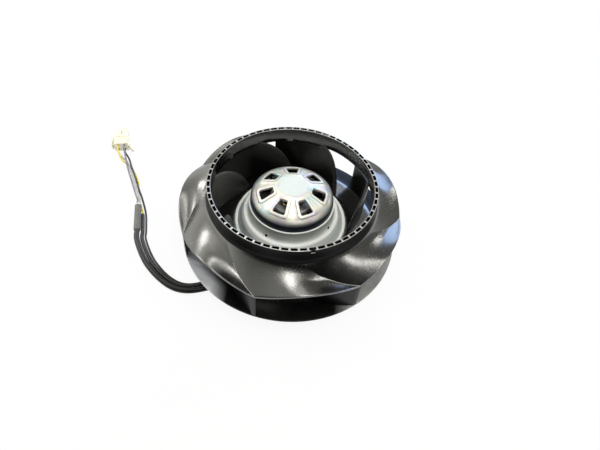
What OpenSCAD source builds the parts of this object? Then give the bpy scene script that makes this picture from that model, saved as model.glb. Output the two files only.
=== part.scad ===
// Motorised centrifugal impeller: an external-rotor fan motor with its backward-curved wheel and lead.
// Millimetres, +Z up along the rotation axis towards the inlet, origin on the mounting face at the axis.

/* [Impeller] */
// outer diameter of the wheel
impeller_d = 190; // [184:1:210]
// underside of the back plate above the mounting face
plate_z = 14; // [13:0.5:18]
// back plate underside to the top of the inlet rim
impeller_h = 61.2; // [60:0.2:66]
// clear height of the outlet at a blade tip
outlet_w = 28.2; // [24:0.2:30]
// rise of the shroud's edge between two blade tips
arch_h = 8.5; // [5:0.5:10]
// number of blades
blade_count = 7; // [5:1:9]
// wrap of the blade spiral, turn in radians per unit of log radius
blade_wrap = 1.75; // [1.4:0.05:2]
// blade thickness at the hub end
blade_t = 2.4; // [2:0.1:3]
// back plate thickness
plate_t = 2; // [1.6:0.1:2.6]
// shroud thickness
shroud_t = 2; // [1.6:0.1:2.4]

/* [Inlet rim] */
// clear diameter of the inlet throat
inlet_d = 134.2; // [130:0.2:138]
// radial width of the rim
rim_w = 3.5; // [3.3:0.1:4.5]
// balancing pockets between two blade tips
pockets_per_blade = 9; // [6:1:10]
// depth of a balancing pocket
pocket_depth = 3; // [2.4:0.2:5]
// share of the pocket pitch that is open
pocket_share = 0.69; // [0.55:0.01:0.75]

/* [Rotor] */
// outside diameter of the rotor bell
rotor_d = 70.7; // [70:0.1:71.4]
// sheet thickness of the rotor bell
bell_t = 1.4; // [1.2:0.1:1.6]
// vents in the bell's dome
vent_count = 7; // [5:1:8]
// width of a vent at its outer edge
vent_w = 11; // [8:0.5:12]
// drain holes in the carrier's wall
drain_count = 4; // [2:1:6]

/* [Motor] */
// height of the lamination stack
core_h = 20; // [14:1:21]
// stator teeth
tooth_count = 12; // [9:3:12]
// shaft diameter
shaft_d = 8; // [7:0.5:8.5]
// balls in a bearing
ball_count = 7; // [6:1:7]
// outside diameter of the motor flange
flange_d = 86; // [85:0.5:87]
// bolt circle of the mounting holes
mount_pcd = 70; // [66:1:71]
// core diameter of the mounting threads
mount_hole_d = 3.3; // [2.5:0.1:4.2]

/* [Lead] */
// diameter of the power cable
power_d = 5; // [4.6:0.1:5.1]
// diameter of the control cable
control_d = 3.6; // [3.4:0.1:3.7]
// diameter of the thin single lead
single_d = 1.9; // [1.6:0.1:2]
// diameter of a stripped wire
wire_d = 1.7; // [1.4:0.1:1.8]

/* [Hidden] */
$fn = 64;
eps = 0.01;

// angles seen from the inlet
tip_angle = -101.7;
pitch = 360 / blade_count;
wrap_deg = blade_wrap * 180 / PI;

// wheel
wheel_r = impeller_d / 2;
rim_ri = inlet_d / 2;
rim_ro = rim_ri + rim_w;
rim_wall_in = 0.9;
rim_wall_out = 0.8;
rim_top = plate_z + impeller_h;
neck_ri = rim_ri + 0.5;
neck_ro = rim_ro - 0.4;
neck_z = rim_top - 12;
rim_bottom = neck_z + 1.2;
tip_z = plate_z + plate_t + outlet_w;
arch_z = tip_z + arch_h;
columns_per_blade = 14;

// bell
bell_r = rotor_d / 2;
bell_ri = bell_r - bell_t;
bell_top = plate_z + 56.8;
bell_bottom = plate_z + 14;
dome_flat_r = 13.4;
// dome line: steps out and down from the flat, then steps in from the wall and down from the top
dome_edge = [2.6, 1.2];
dome_steps = [[7, 6.6], [2.6, 9.2], [1, 10.5], [0.2, 12], [0, 13.4]];
// embossed frame round a vent: height, distance from the vent and width
frame_h = 0.5;
frame_gap = 0.5;
frame_w = 1;
vent_phase = -58.6;
vent_reach = 20;

// carrier, the pressed steel ring between bell and wheel
carrier_top = plate_z + 39.5;
lip_z = plate_z + 15.2;
lip_ro = bell_r + 13.95;
hub_wall_r = lip_ro + 0.1;
hub_ri = bell_r + 10.45;
flat_r = wheel_r - 16;
// its pressed line: steps out from the bell and down from the top edge
carrier_skirt = [[0, 0], [1.1, 0], [1.4, 0.4], [1.5, 3], [2.2, 10], [3, 11.6], [5.4, 12], [6.2, 12.8]];
carrier_under = [[5.2, 13.2], [4.8, 13.6], [2, 13.2], [0, 11.6]];
// its lip: steps in from the outer edge and up from the underside
carrier_lip = [[2.9, 1.6], [2.4, 1.2], [1.9, 1.9], [1.1, 2.3], [0.3, 1.9], [0, 1], [0, 0],
    [3.2, 0], [4, 1]];
drain_phase = -118;
drain_r = 1.25;
drain_drop = 10;

// plate top as radius and height pairs, used by the plate and by the blade feet
plate_top = [
    [hub_wall_r, plate_z + 16.6],
    [hub_wall_r + 2.6, plate_z + 16.2],
    [hub_wall_r + 10.6, plate_z + plate_t + 10],
    [flat_r, plate_z + plate_t],
    [wheel_r, plate_z + plate_t]
];

// blade
le_foot = hub_wall_r + 2;
le_top = neck_z + 0.5;
embed = 0.4;

// stator levels
floor_t = 4;
cup_wall_t = 2.4;
cup_r = flange_d / 2;
cup_ri = cup_r - cup_wall_t;
cup_top = plate_z + 8;
core_z = plate_z + 19;
core_top = core_z + core_h;
core_r = bell_ri - 4.1;
tube_r = 13;
yoke_r = tube_r + 5;
shoe_t = 2;
bearing_r = 11;
bearing_w = 7;
race_r = 7.5;
ball_r = 1.98;
ball_gap = 0.07;
low_bearing_z = plate_z - 5;
high_bearing_z = plate_z + 35;
insulator_t = 1.2;
liner = 0.3;
tooth_w = 4.2;
coil_ri = yoke_r + 1.4;
coil_ro = core_r - shoe_t - 1.25;
coil_side = coil_ri * tan(180 / tooth_count) - 0.5;
coil_leg = 3;
magnet_t = 3.5;
magnet_top = bell_top - dome_steps[4][1] - bell_t;
magnet_bottom = core_z - 2;
bush_r = 8;
bush_foot_r = 5.6;
bush_head_r = 12;
ring_gap = 1.4;
board_z = 8.5;
board_t = 1.6;
board_post_at = 24;
board_screw_r = 1.1;
mount_count = 4;
mount_phase = 45;
post_phase = 90;
shaft_r = shaft_d / 2;

// cable outlet
outlet_angle = -135;
outlet_z = 8;
power_offset = 6.4;
control_offset = -2.4;
single_offset = -9.4;
outlet_face = cup_r + 6;
outlet_wall = cup_r + 1.4;
collar_w = 0.9;
collar_h = 2;
function nose_r(d) = d / 2 + 0.9;

// connector
connector_at = [-186.5, 93.5, 0];
connector_turn = 15;
connector_h = 10;
body_w = 14.2;
body_l = 16;
nose_l = 10;
cavity_x = 3.2;
cavity_low = 2.6;
cavity_high = 7.4;
cavity_r = 1.7;

// routes of the lead: x, y and height of the cord's underside over the floor
power_points = [[-46, -53.5, 1.8], [-56, -60.3, 0], [-65, -64.9, 0], [-73.3, -67.9, 0],
    [-80.8, -69.2, 0], [-88.6, -68.6, 0], [-96.9, -65.5, 0], [-105.4, -60.1, 0], [-113.8, -53.1, 0],
    [-121.9, -44.6, 0], [-130, -33, 0]];
control_points = [[-49, -49.2, 1.8], [-58.5, -56.1, 0], [-66.8, -60.8, 0], [-74.5, -63.6, 0],
    [-81, -64.8, 0], [-87.6, -64.3, 0], [-94.9, -61.5, 0], [-102.8, -56.5, 0], [-110.8, -49.9, 0],
    [-118.4, -41.8, 0], [-126.2, -30.6, 0], [-132.3, -19.6, 0], [-134.1, -11.5, 0], [-137.8, 2, 0]];
control_last = [-139.9, 8.2, 0];
single_points = [[-52.5, -45.7, 1.8], [-60.2, -53.3, 0], [-68, -58, 0], [-75.2, -60.9, 0],
    [-81.1, -62, 0], [-87, -61.5, 0], [-93.6, -59, 0], [-101.1, -54.3, 0], [-108.7, -47.7, 0],
    [-116.1, -39.9, 0], [-123.6, -29, 0], [-129.4, -18.4, 0], [-131.2, -10.8, 0], [-133.8, -1.2, 0],
    [-135.6, 5, 0], [-138, 11.6, 0], [-141.8, 19.8, 0], [-147.4, 30.5, 0.9], [-151.9, 38.1, 1.9],
    [-157.4, 48.4, 1.9], [-163.2, 59, 1.9], [-169.4, 69.9, 1.9], [-174.7, 79.7, 1.7]];
sleeve_points = [[-138.6, -12.6, 0.8], [-141.95, 0.9, 1.6], [-145.1, 14.7, 2.95]];
grey_points = [[-152.5, 30.2, 3.8], [-156.4, 37.5, 1.9], [-163.3, 50.3, 1.9], [-170.4, 63.4, 2.3],
    [-176.4, 76.2, 4.1]];
yellow_points = [[-143.4, 16.6, 0], [-147.6, 24.6, 0], [-151, 33.4, 0], [-154.4, 44.6, 0],
    [-158, 52.9, 0], [-163.4, 61.4, 0], [-169.6, 68.8, 0], [-176, 74, 0], [-181.5, 77.6, 1.6],
    [-185, 82.2, 4.6]];
white_points = [[-150.1, 30.6, 3.8], [-154.2, 37.9, 1.9], [-161.4, 51.3, 1.9], [-168.6, 64.5, 1.9],
    [-175.4, 75.3, 1.8], [-182.4, 81.2, 1.6]];
wire_apart = 1.1;

// shapes shared by several pieces

module around(count, phase = 0) {
    for (i = [0 : count - 1]) rotate(phase + i * 360 / count) children();
}

module ring(ri, ro, z0, z1) {
    rotate_extrude() translate([ri, z0]) square([ro - ri, z1 - z0]);
}

module turned(points) {
    rotate_extrude() polygon(points);
}

// curve through the route points, one straight start and end
function spline(p, q, r, s, t) = 0.5 * ((2 * q) + (r - p) * t + (2 * p - 5 * q + 4 * r - s) * t * t
    + (3 * q - p - 3 * r + s) * t * t * t);
function route_point(route, i) = route[max(0, min(len(route) - 1, i))];
function path_of(route, steps) = concat([for (i = [0 : len(route) - 2]) for (k = [0 : steps - 1])
    spline(route_point(route, i - 1), route[i], route[i + 1], route_point(route, i + 2), k / steps)],
    [route[len(route) - 1]]);
function unit(v) = v / norm(v);
function path_dir(path, route, i) = i == 0 ? unit(route[1] - route[0])
    : i == len(path) - 1 ? unit(route[len(route) - 1] - route[len(route) - 2])
    : unit(path[i + 1] - path[i - 1]);

// round cord swept along a route: one closed tube
module cord(route, d, sides = 8, steps = 1) {
    path = path_of(route, steps);
    n = len(path);
    points = [for (i = [0 : n - 1])
        let (t = path_dir(path, route, i), side = unit(cross([0, 0, 1], t)), up = cross(t, side))
        for (k = [0 : sides - 1])
            path[i] + d / 2 * (cos(k * 360 / sides) * side + sin(k * 360 / sides) * up)];
    walls = [for (i = [0 : n - 2]) for (k = [0 : sides - 1])
        let (a = i * sides + k, b = i * sides + (k + 1) % sides)
        each [[a, b, a + sides], [b, b + sides, a + sides]]];
    first = [for (k = [sides - 1 : -1 : 0]) k];
    last = [for (k = [0 : sides - 1]) (n - 1) * sides + k];
    polyhedron(points, concat(walls, [first], [last]));
}

// stator

module outlet_place(offset) {
    rotate(outlet_angle) translate([0, offset, outlet_z]) rotate([0, 90, 0]) children();
}

module stator_flange() {
    fin_count = 24;
    fin_keep = 30;
    fin_w = 1.6;
    fin_out = 1.6;
    boss_r = 4.2;
    post_r = 2.6;
    block_w = 25;
    block_h = 15;
    recess_d = 1.4;
    color("silver") difference() {
        union() {
            ring(0, cup_r, 0, floor_t);
            ring(cup_ri, cup_r, floor_t - eps, cup_top);
            around(mount_count, mount_phase) translate([mount_pcd / 2, 0, floor_t - eps])
                cylinder(r = boss_r, h = board_z - floor_t + eps);
            around(3, post_phase) translate([board_post_at, 0, floor_t - eps])
                cylinder(r = post_r, h = board_z - floor_t + eps);
            for (i = [0 : fin_count - 1])
                if (abs((i * 360 / fin_count - outlet_angle + 540) % 360 - 180) > fin_keep)
                    rotate(i * 360 / fin_count) translate([cup_r - 1, -fin_w / 2, floor_t])
                        cube([fin_out + 1, fin_w, cup_top - floor_t - 2]);
            rotate(outlet_angle) translate([cup_ri + 0.6, -block_w / 2, 0])
                cube([outlet_wall - cup_ri - 0.6, block_w, block_h]);
        }
        around(mount_count, mount_phase) translate([mount_pcd / 2, 0, -eps])
            cylinder(d = mount_hole_d, h = board_z - 1.5);
        around(3, post_phase) translate([board_post_at, 0, floor_t + 0.5])
            cylinder(r = board_screw_r, h = board_z);
        outlet_place(power_offset) translate([0, 0, cup_ri - 6]) cylinder(r = nose_r(power_d), h = 20);
        outlet_place(control_offset) translate([0, 0, cup_ri - 6]) cylinder(r = nose_r(control_d), h = 20);
        outlet_place(single_offset) translate([0, 0, cup_ri - 6]) cylinder(r = nose_r(single_d), h = 20);
        difference() {
            ring(20, 28, -eps, recess_d);
            around(6) translate([24, 0, 0]) cube([12, 2, 6], center = true);
        }
        translate([0, 0, -eps]) cylinder(r = 9, h = recess_d);
    }
}

module bearing_tube() {
    foot_r = tube_r + 4;
    foot_t = 2;
    shoulder_r = bearing_r - ring_gap;
    tube_top = high_bearing_z + bearing_w + 0.6;
    color("lightsteelblue") turned([
        [bearing_r, floor_t], [foot_r, floor_t], [foot_r, floor_t + foot_t], [tube_r, floor_t + foot_t],
        [tube_r, tube_top], [bearing_r, tube_top], [bearing_r, high_bearing_z],
        [shoulder_r, high_bearing_z], [shoulder_r, low_bearing_z + bearing_w],
        [bearing_r, low_bearing_z + bearing_w]]);
}

// bearing ring: a turned ring with the ball's groove
module race(ri, ro, z) {
    difference() {
        ring(ri, ro, z, z + bearing_w);
        translate([0, 0, z + bearing_w / 2]) rotate_extrude() translate([race_r, 0])
            circle(r = ball_r + ball_gap);
    }
}

module lower_outer_ring() {
    color("lightgrey") race(race_r + ring_gap, bearing_r, low_bearing_z);
}

module upper_outer_ring() {
    color("lightgrey") race(race_r + ring_gap, bearing_r, high_bearing_z);
}

module tooth_plan(grow, r_end) {
    around(tooth_count) translate([yoke_r - 2, -tooth_w / 2 - grow])
        square([r_end - yoke_r + 2, tooth_w + 2 * grow]);
}

module shoe_plan() {
    shoe_half = 180 / tooth_count - 2.6;
    difference() {
        circle(r = core_r);
        circle(r = core_r - shoe_t);
        around(tooth_count, 180 / tooth_count) translate([core_r - 1.5, 0])
            square([5, 2 * core_r * sin(180 / tooth_count - shoe_half)], center = true);
    }
}

module stator_core() {
    color("dimgrey") translate([0, 0, core_z]) linear_extrude(core_h) union() {
        difference() {
            circle(r = yoke_r);
            circle(r = tube_r);
        }
        tooth_plan(0, core_r - 1);
        shoe_plan();
    }
}

// end insulator: a spider over the teeth with an inner and an outer wall that hold the coils
module insulator(z_face, up) {
    translate([0, 0, z_face]) mirror([0, 0, up ? 0 : 1]) {
        linear_extrude(insulator_t) union() {
            difference() {
                circle(r = yoke_r);
                circle(r = tube_r);
            }
            tooth_plan(liner, core_r - 1);
            shoe_plan();
        }
        translate([0, 0, insulator_t - eps]) ring(yoke_r - 1, coil_ri - 0.6, 0, coil_leg);
        translate([0, 0, insulator_t - eps]) linear_extrude(coil_leg) intersection() {
            shoe_plan();
            difference() {
                circle(r = core_r - 0.4);
                circle(r = core_r - 1.6);
            }
        }
    }
}

module lower_insulator() {
    color("ivory") insulator(core_z, false);
}

module upper_insulator() {
    color("ivory") insulator(core_top, true);
}

module coil_windings() {
    z0 = core_z - insulator_t;
    z1 = core_top + insulator_t;
    slot_w = tooth_w + 2 * liner;
    depth = coil_ro - coil_ri;
    color("peru") around(tooth_count) difference() {
        translate([coil_ri, -coil_side, z0 - coil_leg])
            cube([depth, 2 * coil_side, z1 - z0 + 2 * coil_leg]);
        translate([coil_ri - 1, -slot_w / 2, z0]) cube([depth + 2, slot_w, z1 - z0]);
    }
}

module circuit_board() {
    color("darkgreen") difference() {
        ring(yoke_r, cup_ri - 0.5, board_z, board_z + board_t);
        around(3, post_phase) translate([board_post_at, 0, board_z - 1])
            cylinder(r = board_screw_r + 0.4, h = 4);
        outlet_place(0) translate([0, 0, cup_ri]) cube([16, 27, 9], center = true);
    }
}

module capacitors() {
    color("midnightblue") for (a = [40, 68, 112]) rotate(a) translate([31.5, 0, board_z + board_t]) {
        cylinder(r = 5, h = 10);
        cylinder(r = 4.6, h = 10.6);
    }
}

module choke() {
    color("saddlebrown") rotate(-45) translate([31, 0, board_z + board_t]) difference() {
        cylinder(r = 6, h = 7);
        translate([0, 0, -1]) cylinder(r = 2.6, h = 9);
    }
}

module power_switches() {
    color("black") for (i = [0 : 5]) rotate(162 + i * 11) translate([30, -2.2, board_z + board_t])
        cube([6, 4.4, 1.8]);
}

module position_sensors() {
    color("black") for (i = [-1 : 1]) rotate(-5 + i * 18) translate([28, -1.5, board_z + board_t])
        cube([1.6, 3, 6]);
}

module board_screws() {
    head_r = 2.2;
    head_h = 1.6;
    thread_l = 2.6;
    color("gainsboro") around(3, post_phase) translate([board_post_at, 0, board_z + board_t]) difference() {
        union() {
            cylinder(r = head_r, h = head_h);
            translate([0, 0, -board_t - thread_l])
                cylinder(r = board_screw_r, h = board_t + thread_l + 0.1);
        }
        translate([0, 0, head_h / 2]) cylinder(r = 1, h = 2, $fn = 6);
    }
}

// rubber grommet on the outlet axis, a nose through the wall and a collar outside
module grommet(d) {
    inside = cup_ri - 2;
    translate([0, 0, inside]) cylinder(r = nose_r(d), h = outlet_face - inside);
    translate([0, 0, outlet_wall]) cylinder(r = nose_r(d) + collar_w, h = collar_h);
}

module power_grommet() {
    color("black") outlet_place(power_offset) grommet(power_d);
}

module control_grommet() {
    color("black") outlet_place(control_offset) grommet(control_d);
}

module single_grommet() {
    color("black") outlet_place(single_offset) grommet(single_d);
}

// rotor

module shaft() {
    bottom = low_bearing_z - 3;
    top = bell_top - bell_t - 0.5;
    chamfer = 0.4;
    color("silver") turned([
        [0, bottom], [shaft_r - chamfer, bottom], [shaft_r, bottom + chamfer],
        [shaft_r, top - chamfer], [shaft_r - chamfer, top], [0, top]]);
}

module rotor_bush() {
    z0 = high_bearing_z + bearing_w;
    z1 = bell_top - bell_t;
    color("darkgoldenrod") turned([
        [shaft_r, z0], [bush_foot_r, z0], [bush_foot_r, z0 + 1], [bush_r, z0 + 1.6], [bush_r, z1 - 3],
        [bush_head_r, z1 - 2], [bush_head_r, z1], [shaft_r, z1]]);
}

module lower_inner_ring() {
    color("lightgrey") race(shaft_r, race_r - ring_gap, low_bearing_z);
}

module upper_inner_ring() {
    color("lightgrey") race(shaft_r, race_r - ring_gap, high_bearing_z);
}

module shaft_circlip() {
    color("dimgrey") difference() {
        ring(shaft_r, shaft_r + 1.8, low_bearing_z - 1.4, low_bearing_z - 0.6);
        translate([shaft_r - 1, -0.9, low_bearing_z - 2]) cube([5, 1.8, 2]);
    }
}

module preload_washer() {
    color("slategrey") turned([
        [shaft_r, low_bearing_z - 0.6], [shaft_r + 1.2, low_bearing_z - 0.6],
        [shaft_r + 1.7, low_bearing_z - 0.3], [shaft_r + 1.7, low_bearing_z],
        [shaft_r + 0.6, low_bearing_z], [shaft_r, low_bearing_z - 0.3]]);
}

// dome of the bell: outer line, and the same line lowered for the inside
function dome(r_wall, drop) = concat(
    [[dome_flat_r - drop * 0.2, bell_top - drop],
        [dome_flat_r + dome_edge[0] - drop * 0.3, bell_top - dome_edge[1] - drop]],
    [for (step = dome_steps) [r_wall - step[0], bell_top - step[1] - drop]]);

module vent_plan(grow) {
    r0 = dome_flat_r + 3.2 - grow;
    r1 = bell_r - 8 + grow;
    w0 = vent_w * 0.29 + grow;
    w1 = vent_w * 0.5 + grow;
    corner = 1.6;
    polygon([[r0, -w0], [r1 - 1, -w1], [r1, -w1 + corner], [r1 + 0.4, 0], [r1, w1 - corner],
        [r1 - 1, w1], [r0, w0]]);
}

module vent_prisms() {
    around(vent_count, vent_phase) translate([0, 0, bell_top - vent_reach])
        linear_extrude(1.5 * vent_reach) children();
}

module rotor_bell() {
    rooted = 0.6;
    color("gainsboro") difference() {
        union() {
            turned(concat([[0, bell_top]], dome(bell_r, 0), [[bell_r, bell_bottom], [bell_ri, bell_bottom]],
                [for (i = [6 : -1 : 0]) dome(bell_ri, bell_t)[i]], [[0, bell_top - bell_t]]));
            intersection() {
                turned(concat([[0, bell_top + frame_h], [dome_flat_r, bell_top + frame_h]],
                    [for (i = [1 : 3]) dome(bell_r, -frame_h)[i]],
                    [for (i = [3 : -1 : 1]) dome(bell_r, rooted)[i]],
                    [[dome_flat_r, bell_top - rooted], [0, bell_top - rooted]]));
                vent_prisms() difference() {
                    vent_plan(frame_gap + frame_w);
                    vent_plan(frame_gap);
                }
            }
        }
        vent_prisms() vent_plan(0);
    }
}

module magnet_ring() {
    color("darkslategrey") ring(bell_ri - magnet_t, bell_ri, magnet_bottom, magnet_top);
}

module label_disc() {
    color("white") translate([0, 0, bell_top]) rotate(22.5) cylinder(r = dome_flat_r - 1, h = 0.2, $fn = 8);
}

module impeller_carrier() {
    color("lightgrey") difference() {
        turned(concat(
            [for (step = carrier_skirt) [bell_r + step[0], carrier_top - step[1]]],
            [for (step = carrier_lip) [lip_ro - step[0], lip_z + step[1]]],
            [for (step = carrier_under) [bell_r + step[0], carrier_top - step[1]]]));
        around(drain_count, drain_phase) translate([bell_r - 0.5, 0, carrier_top - drain_drop])
            rotate([0, 90, 0]) cylinder(r = drain_r, h = 8, $fn = 24);
    }
}

// wheel

module impeller_back_plate() {
    cone_under = plate_top[2] - [0.5, plate_t + 0.3];
    color("black") turned(concat(
        [[hub_ri, lip_z], [hub_wall_r, lip_z]], plate_top, [[wheel_r, plate_z], [flat_r - 1, plate_z]],
        [cone_under, [hub_wall_r + 1.4, lip_z - plate_t], [hub_ri, lip_z - plate_t]]));
}

// shroud: height of its upper face at a share u of the way from neck to edge and a share s between blades
function flare(u) = pow(1 - u, 2.2);
function shroud_z(u, s) = arch_z + (neck_z - arch_z) * flare(u)
    - arch_h * pow(u, 0.8) * (1 - sin(180 * s));
function spiral(r) = -wrap_deg * ln(wheel_r / r);
function polar(r, a, z) = [r * cos(a), r * sin(a), z];
shares = [0, 0.03, 0.09, 0.2, 0.36, 0.56, 0.78, 1];
function outer_r(u) = neck_ro + (wheel_r - neck_ro) * u;
function inner_r(u) = neck_ri + (wheel_r - neck_ri) * u;

module impeller_shroud() {
    n = blade_count * columns_per_blade;
    last = len(shares) - 1;
    m = 2 * len(shares) + 2;
    points = [for (j = [0 : n - 1])
        let (a = tip_angle + j * 360 / n, s = (j % columns_per_blade) / columns_per_blade)
        concat([polar(neck_ro, a + spiral(neck_ro), rim_bottom)],
            [for (u = shares) polar(outer_r(u), a + spiral(outer_r(u)), shroud_z(u, s))],
            [for (i = [last : -1 : 0]) let (u = shares[i])
                polar(inner_r(u), a + spiral(inner_r(u)), shroud_z(u, s) - shroud_t)],
            [polar(neck_ri, a + spiral(neck_ri), rim_bottom)])];
    flat = [for (column = points) each column];
    faces = [for (j = [0 : n - 1]) for (k = [0 : m - 1])
        let (next = (j + 1) % n, up = (k + 1) % m,
            a = j * m + k, b = j * m + up, c = next * m + k, d = next * m + up)
        each [[a, c, b], [b, c, d]]];
    color("black") polyhedron(flat, faces);
}

module rim_pockets() {
    count = blade_count * pockets_per_blade;
    web = 2 * PI * (rim_ri + rim_ro) / 2 / count * (1 - pocket_share);
    pocket_phase = -89.9;
    filled = 28;
    difference() {
        ring(rim_ri + rim_wall_in, rim_ro - rim_wall_out, rim_top - pocket_depth, rim_top + 1);
        around(count, pocket_phase + 180 / count) translate([rim_ri, -web / 2, rim_top - pocket_depth - 1])
            cube([rim_w, web, pocket_depth + 3]);
        rotate(pocket_phase + filled * 360 / count)
            translate([rim_ri, -web * 2, rim_top - pocket_depth - 1])
                cube([rim_w, web * 4, pocket_depth + 0.8]);
    }
}

module inlet_rim() {
    color("black") difference() {
        turned([
            [rim_ri, rim_bottom], [rim_ro, rim_bottom], [rim_ro, rim_top - 0.4],
            [rim_ro - 0.3, rim_top], [rim_ri + 0.5, rim_top], [rim_ri, rim_top - 0.8]]);
        rim_pockets();
    }
}

// blade: a log-spiral ribbon whose top is the leading edge, then the shroud's underside
function leading_z(r) = let (x = (neck_ri - r) / (neck_ri - le_foot), foot = lookup(le_foot, plate_top))
    foot + (le_top - foot) * pow(max(0, 1 - x * x), 0.6);
function blade_half(r) = blade_t * (1 - 0.4 * pow((r - le_foot) / (wheel_r - le_foot), 2)) / 2;

module blade() {
    lead = [for (i = [0 : 8]) le_foot + (neck_ri - le_foot) * pow(i / 8, 1.6)];
    stations = concat(lead, [for (i = [1 : len(shares) - 1]) inner_r(shares[i])]);
    n = len(stations);
    points = [for (i = [0 : n - 1])
        let (r = stations[i], foot = lookup(r, plate_top) - embed,
            half = blade_half(r) * sqrt(1 + blade_wrap * blade_wrap) / r * 180 / PI,
            a = tip_angle + spiral(r), u = (r - neck_ri) / (wheel_r - neck_ri),
            top = i < len(lead) ? max(leading_z(r), foot + 1.5)
                : shroud_z(u, half / pitch) - shroud_t + embed)
        each [polar(r, a - half, foot), polar(r, a + half, foot),
            polar(r, a + half, top), polar(r, a - half, top)]];
    walls = [for (i = [0 : n - 2]) for (k = [0 : 3])
        let (a = i * 4 + k, b = i * 4 + (k + 1) % 4)
        each [[a, b, a + 4], [b, b + 4, a + 4]]];
    polyhedron(points, concat(walls, [[3, 2, 1, 0]], [[for (k = [0 : 3]) (n - 1) * 4 + k]]));
}

module impeller_blades() {
    color("black") around(blade_count) blade();
}

module balance_clip() {
    clip_angle = -72.76;
    clip_half = 1.6;
    clip_t = 0.6;
    leg_in = rim_top - 2.2;
    leg_out = rim_top - 2.6;
    r_in = rim_ro - rim_wall_out;
    color("grey") rotate(clip_angle) intersection() {
        turned([
            [r_in - clip_t, leg_in], [r_in, leg_in], [r_in, rim_top], [rim_ro, rim_top],
            [rim_ro, leg_out], [rim_ro + clip_t, leg_out], [rim_ro + clip_t, rim_top + clip_t],
            [r_in - clip_t, rim_top + clip_t]]);
        translate([rim_ri, -clip_half, rim_top - 5]) cube([12, 2 * clip_half, 8]);
    }
}

// bearing balls in their cage, turning at the mean speed of the two rings
module ball_set(z) {
    translate([0, 0, z + bearing_w / 2]) {
        around(ball_count) translate([race_r, 0, 0]) sphere(r = ball_r);
        ring(race_r - 0.5, race_r + 0.5, -1.1, 1.1);
    }
}

module lower_ball_set() {
    color("white") ball_set(low_bearing_z);
}

module upper_ball_set() {
    color("white") ball_set(high_bearing_z);
}

// lead

outlet_dir = [cos(outlet_angle), sin(outlet_angle), 0];
outlet_side = [-sin(outlet_angle), cos(outlet_angle), 0];
function outlet_start(offset) = [for (r = [outlet_face, outlet_face + 6])
    outlet_dir * r + outlet_side * offset + [0, 0, outlet_z]];
// points given by their height over the floor, raised by the cord's radius
function laid(points, d) = [for (p = points) p + [0, 0, d / 2]];

// shrink sleeve over the end of the power cable, and the ring at its end
sleeve_d = power_d + 1.3;
sleeve_route = laid(sleeve_points, sleeve_d);
sleeve_in = unit(sleeve_route[1] - sleeve_route[0]);
sleeve_out = unit(sleeve_route[2] - sleeve_route[1]);
sleeve_flat = unit([sleeve_out[0], sleeve_out[1], 0]);
sleeve_side = cross(sleeve_out, [0, 0, 1]);
ring_l = 1.5;
ring_end = sleeve_route[2] + ring_l * sleeve_out;

control_end = control_last + [0, 0, control_d / 2];
plug_dir = [-sin(connector_turn), cos(connector_turn), 0];
plug_side = [cos(connector_turn), sin(connector_turn), 0];
function cavity(side, z) = [for (back = [5, 0])
    connector_at + plug_side * cavity_x * side - plug_dir * back + [0, 0, z]];

module power_cable() {
    color("black") cord(concat(outlet_start(power_offset), laid(power_points, power_d),
        [sleeve_route[0] - 9 * sleeve_in, sleeve_route[0]]), power_d, 10);
}

module control_cable() {
    color("black") cord(concat(outlet_start(control_offset), laid(control_points, control_d),
        [control_end]), control_d, 10);
}

module single_lead() {
    color("black") cord(concat(outlet_start(single_offset), laid(single_points, single_d),
        cavity(1, cavity_low)), single_d);
}

module shrink_sleeve() {
    color("grey") cord(sleeve_route, sleeve_d, 12, 2);
}

module sleeve_ring() {
    color("white") cord([sleeve_route[2], ring_end], sleeve_d + 0.5, 12);
}

module grey_wire() {
    start = ring_end - wire_apart * sleeve_side;
    color("slategrey") cord(concat([start, start + 6 * sleeve_out], laid(grey_points, wire_d),
        cavity(1, cavity_high)), wire_d);
}

module yellow_wire() {
    color("gold") cord(concat([control_end, control_end + 3 * sleeve_flat], laid(yellow_points, wire_d),
        cavity(-1, cavity_high)), wire_d);
}

module white_wire() {
    start = ring_end + wire_apart * sleeve_side;
    color("white") cord(concat([start, start + 6 * sleeve_out], laid(white_points, wire_d),
        cavity(-1, cavity_low)), wire_d);
}

module plug_place() {
    translate(connector_at) rotate(connector_turn) children();
}

module plug_cavities(h) {
    for (x = [-cavity_x, cavity_x]) for (z = [cavity_low, cavity_high])
        translate([x, 0, z]) rotate([-90, 0, 0]) cylinder(r = cavity_r, h = h);
}

module connector_housing() {
    color("ivory") plug_place() difference() {
        union() {
            translate([-body_w / 2, 0, 0]) cube([body_w, body_l, connector_h]);
            translate([-body_w / 2 - 2.8, 2, 1.5]) cube([3.4, 11, 6]);
            for (x = [-cavity_x, cavity_x]) translate([x - 2.8, body_l - eps, 0.8])
                cube([5.6, nose_l + eps, connector_h - 1.6]);
            translate([-1, body_l - eps, 4]) cube([2, nose_l - 2, 2]);
        }
        translate([0, -eps, 0]) plug_cavities(body_l + nose_l + 1);
        translate([-body_w / 2 - 1.8, 1, 2.8]) cube([1, 13, 6]);
        translate([-body_w / 2 - 1, body_l - 6, connector_h - 0.6]) cube([body_w + 2, 1.2, 2]);
    }
}

module connector_latch() {
    wall = body_w / 2;
    latch_z = 3;
    latch_h = 3.6;
    color("ivory") plug_place() translate([0, 0, latch_z]) linear_extrude(latch_h) polygon([
        [wall, 7], [wall + 1.2, 6.4], [wall + 1.6, 1], [wall + 5.6, -6.6], [wall + 4.4, -7], [wall, 0.4]]);
}

module crimp_contacts() {
    color("goldenrod") plug_place() plug_cavities(15);
}

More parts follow.
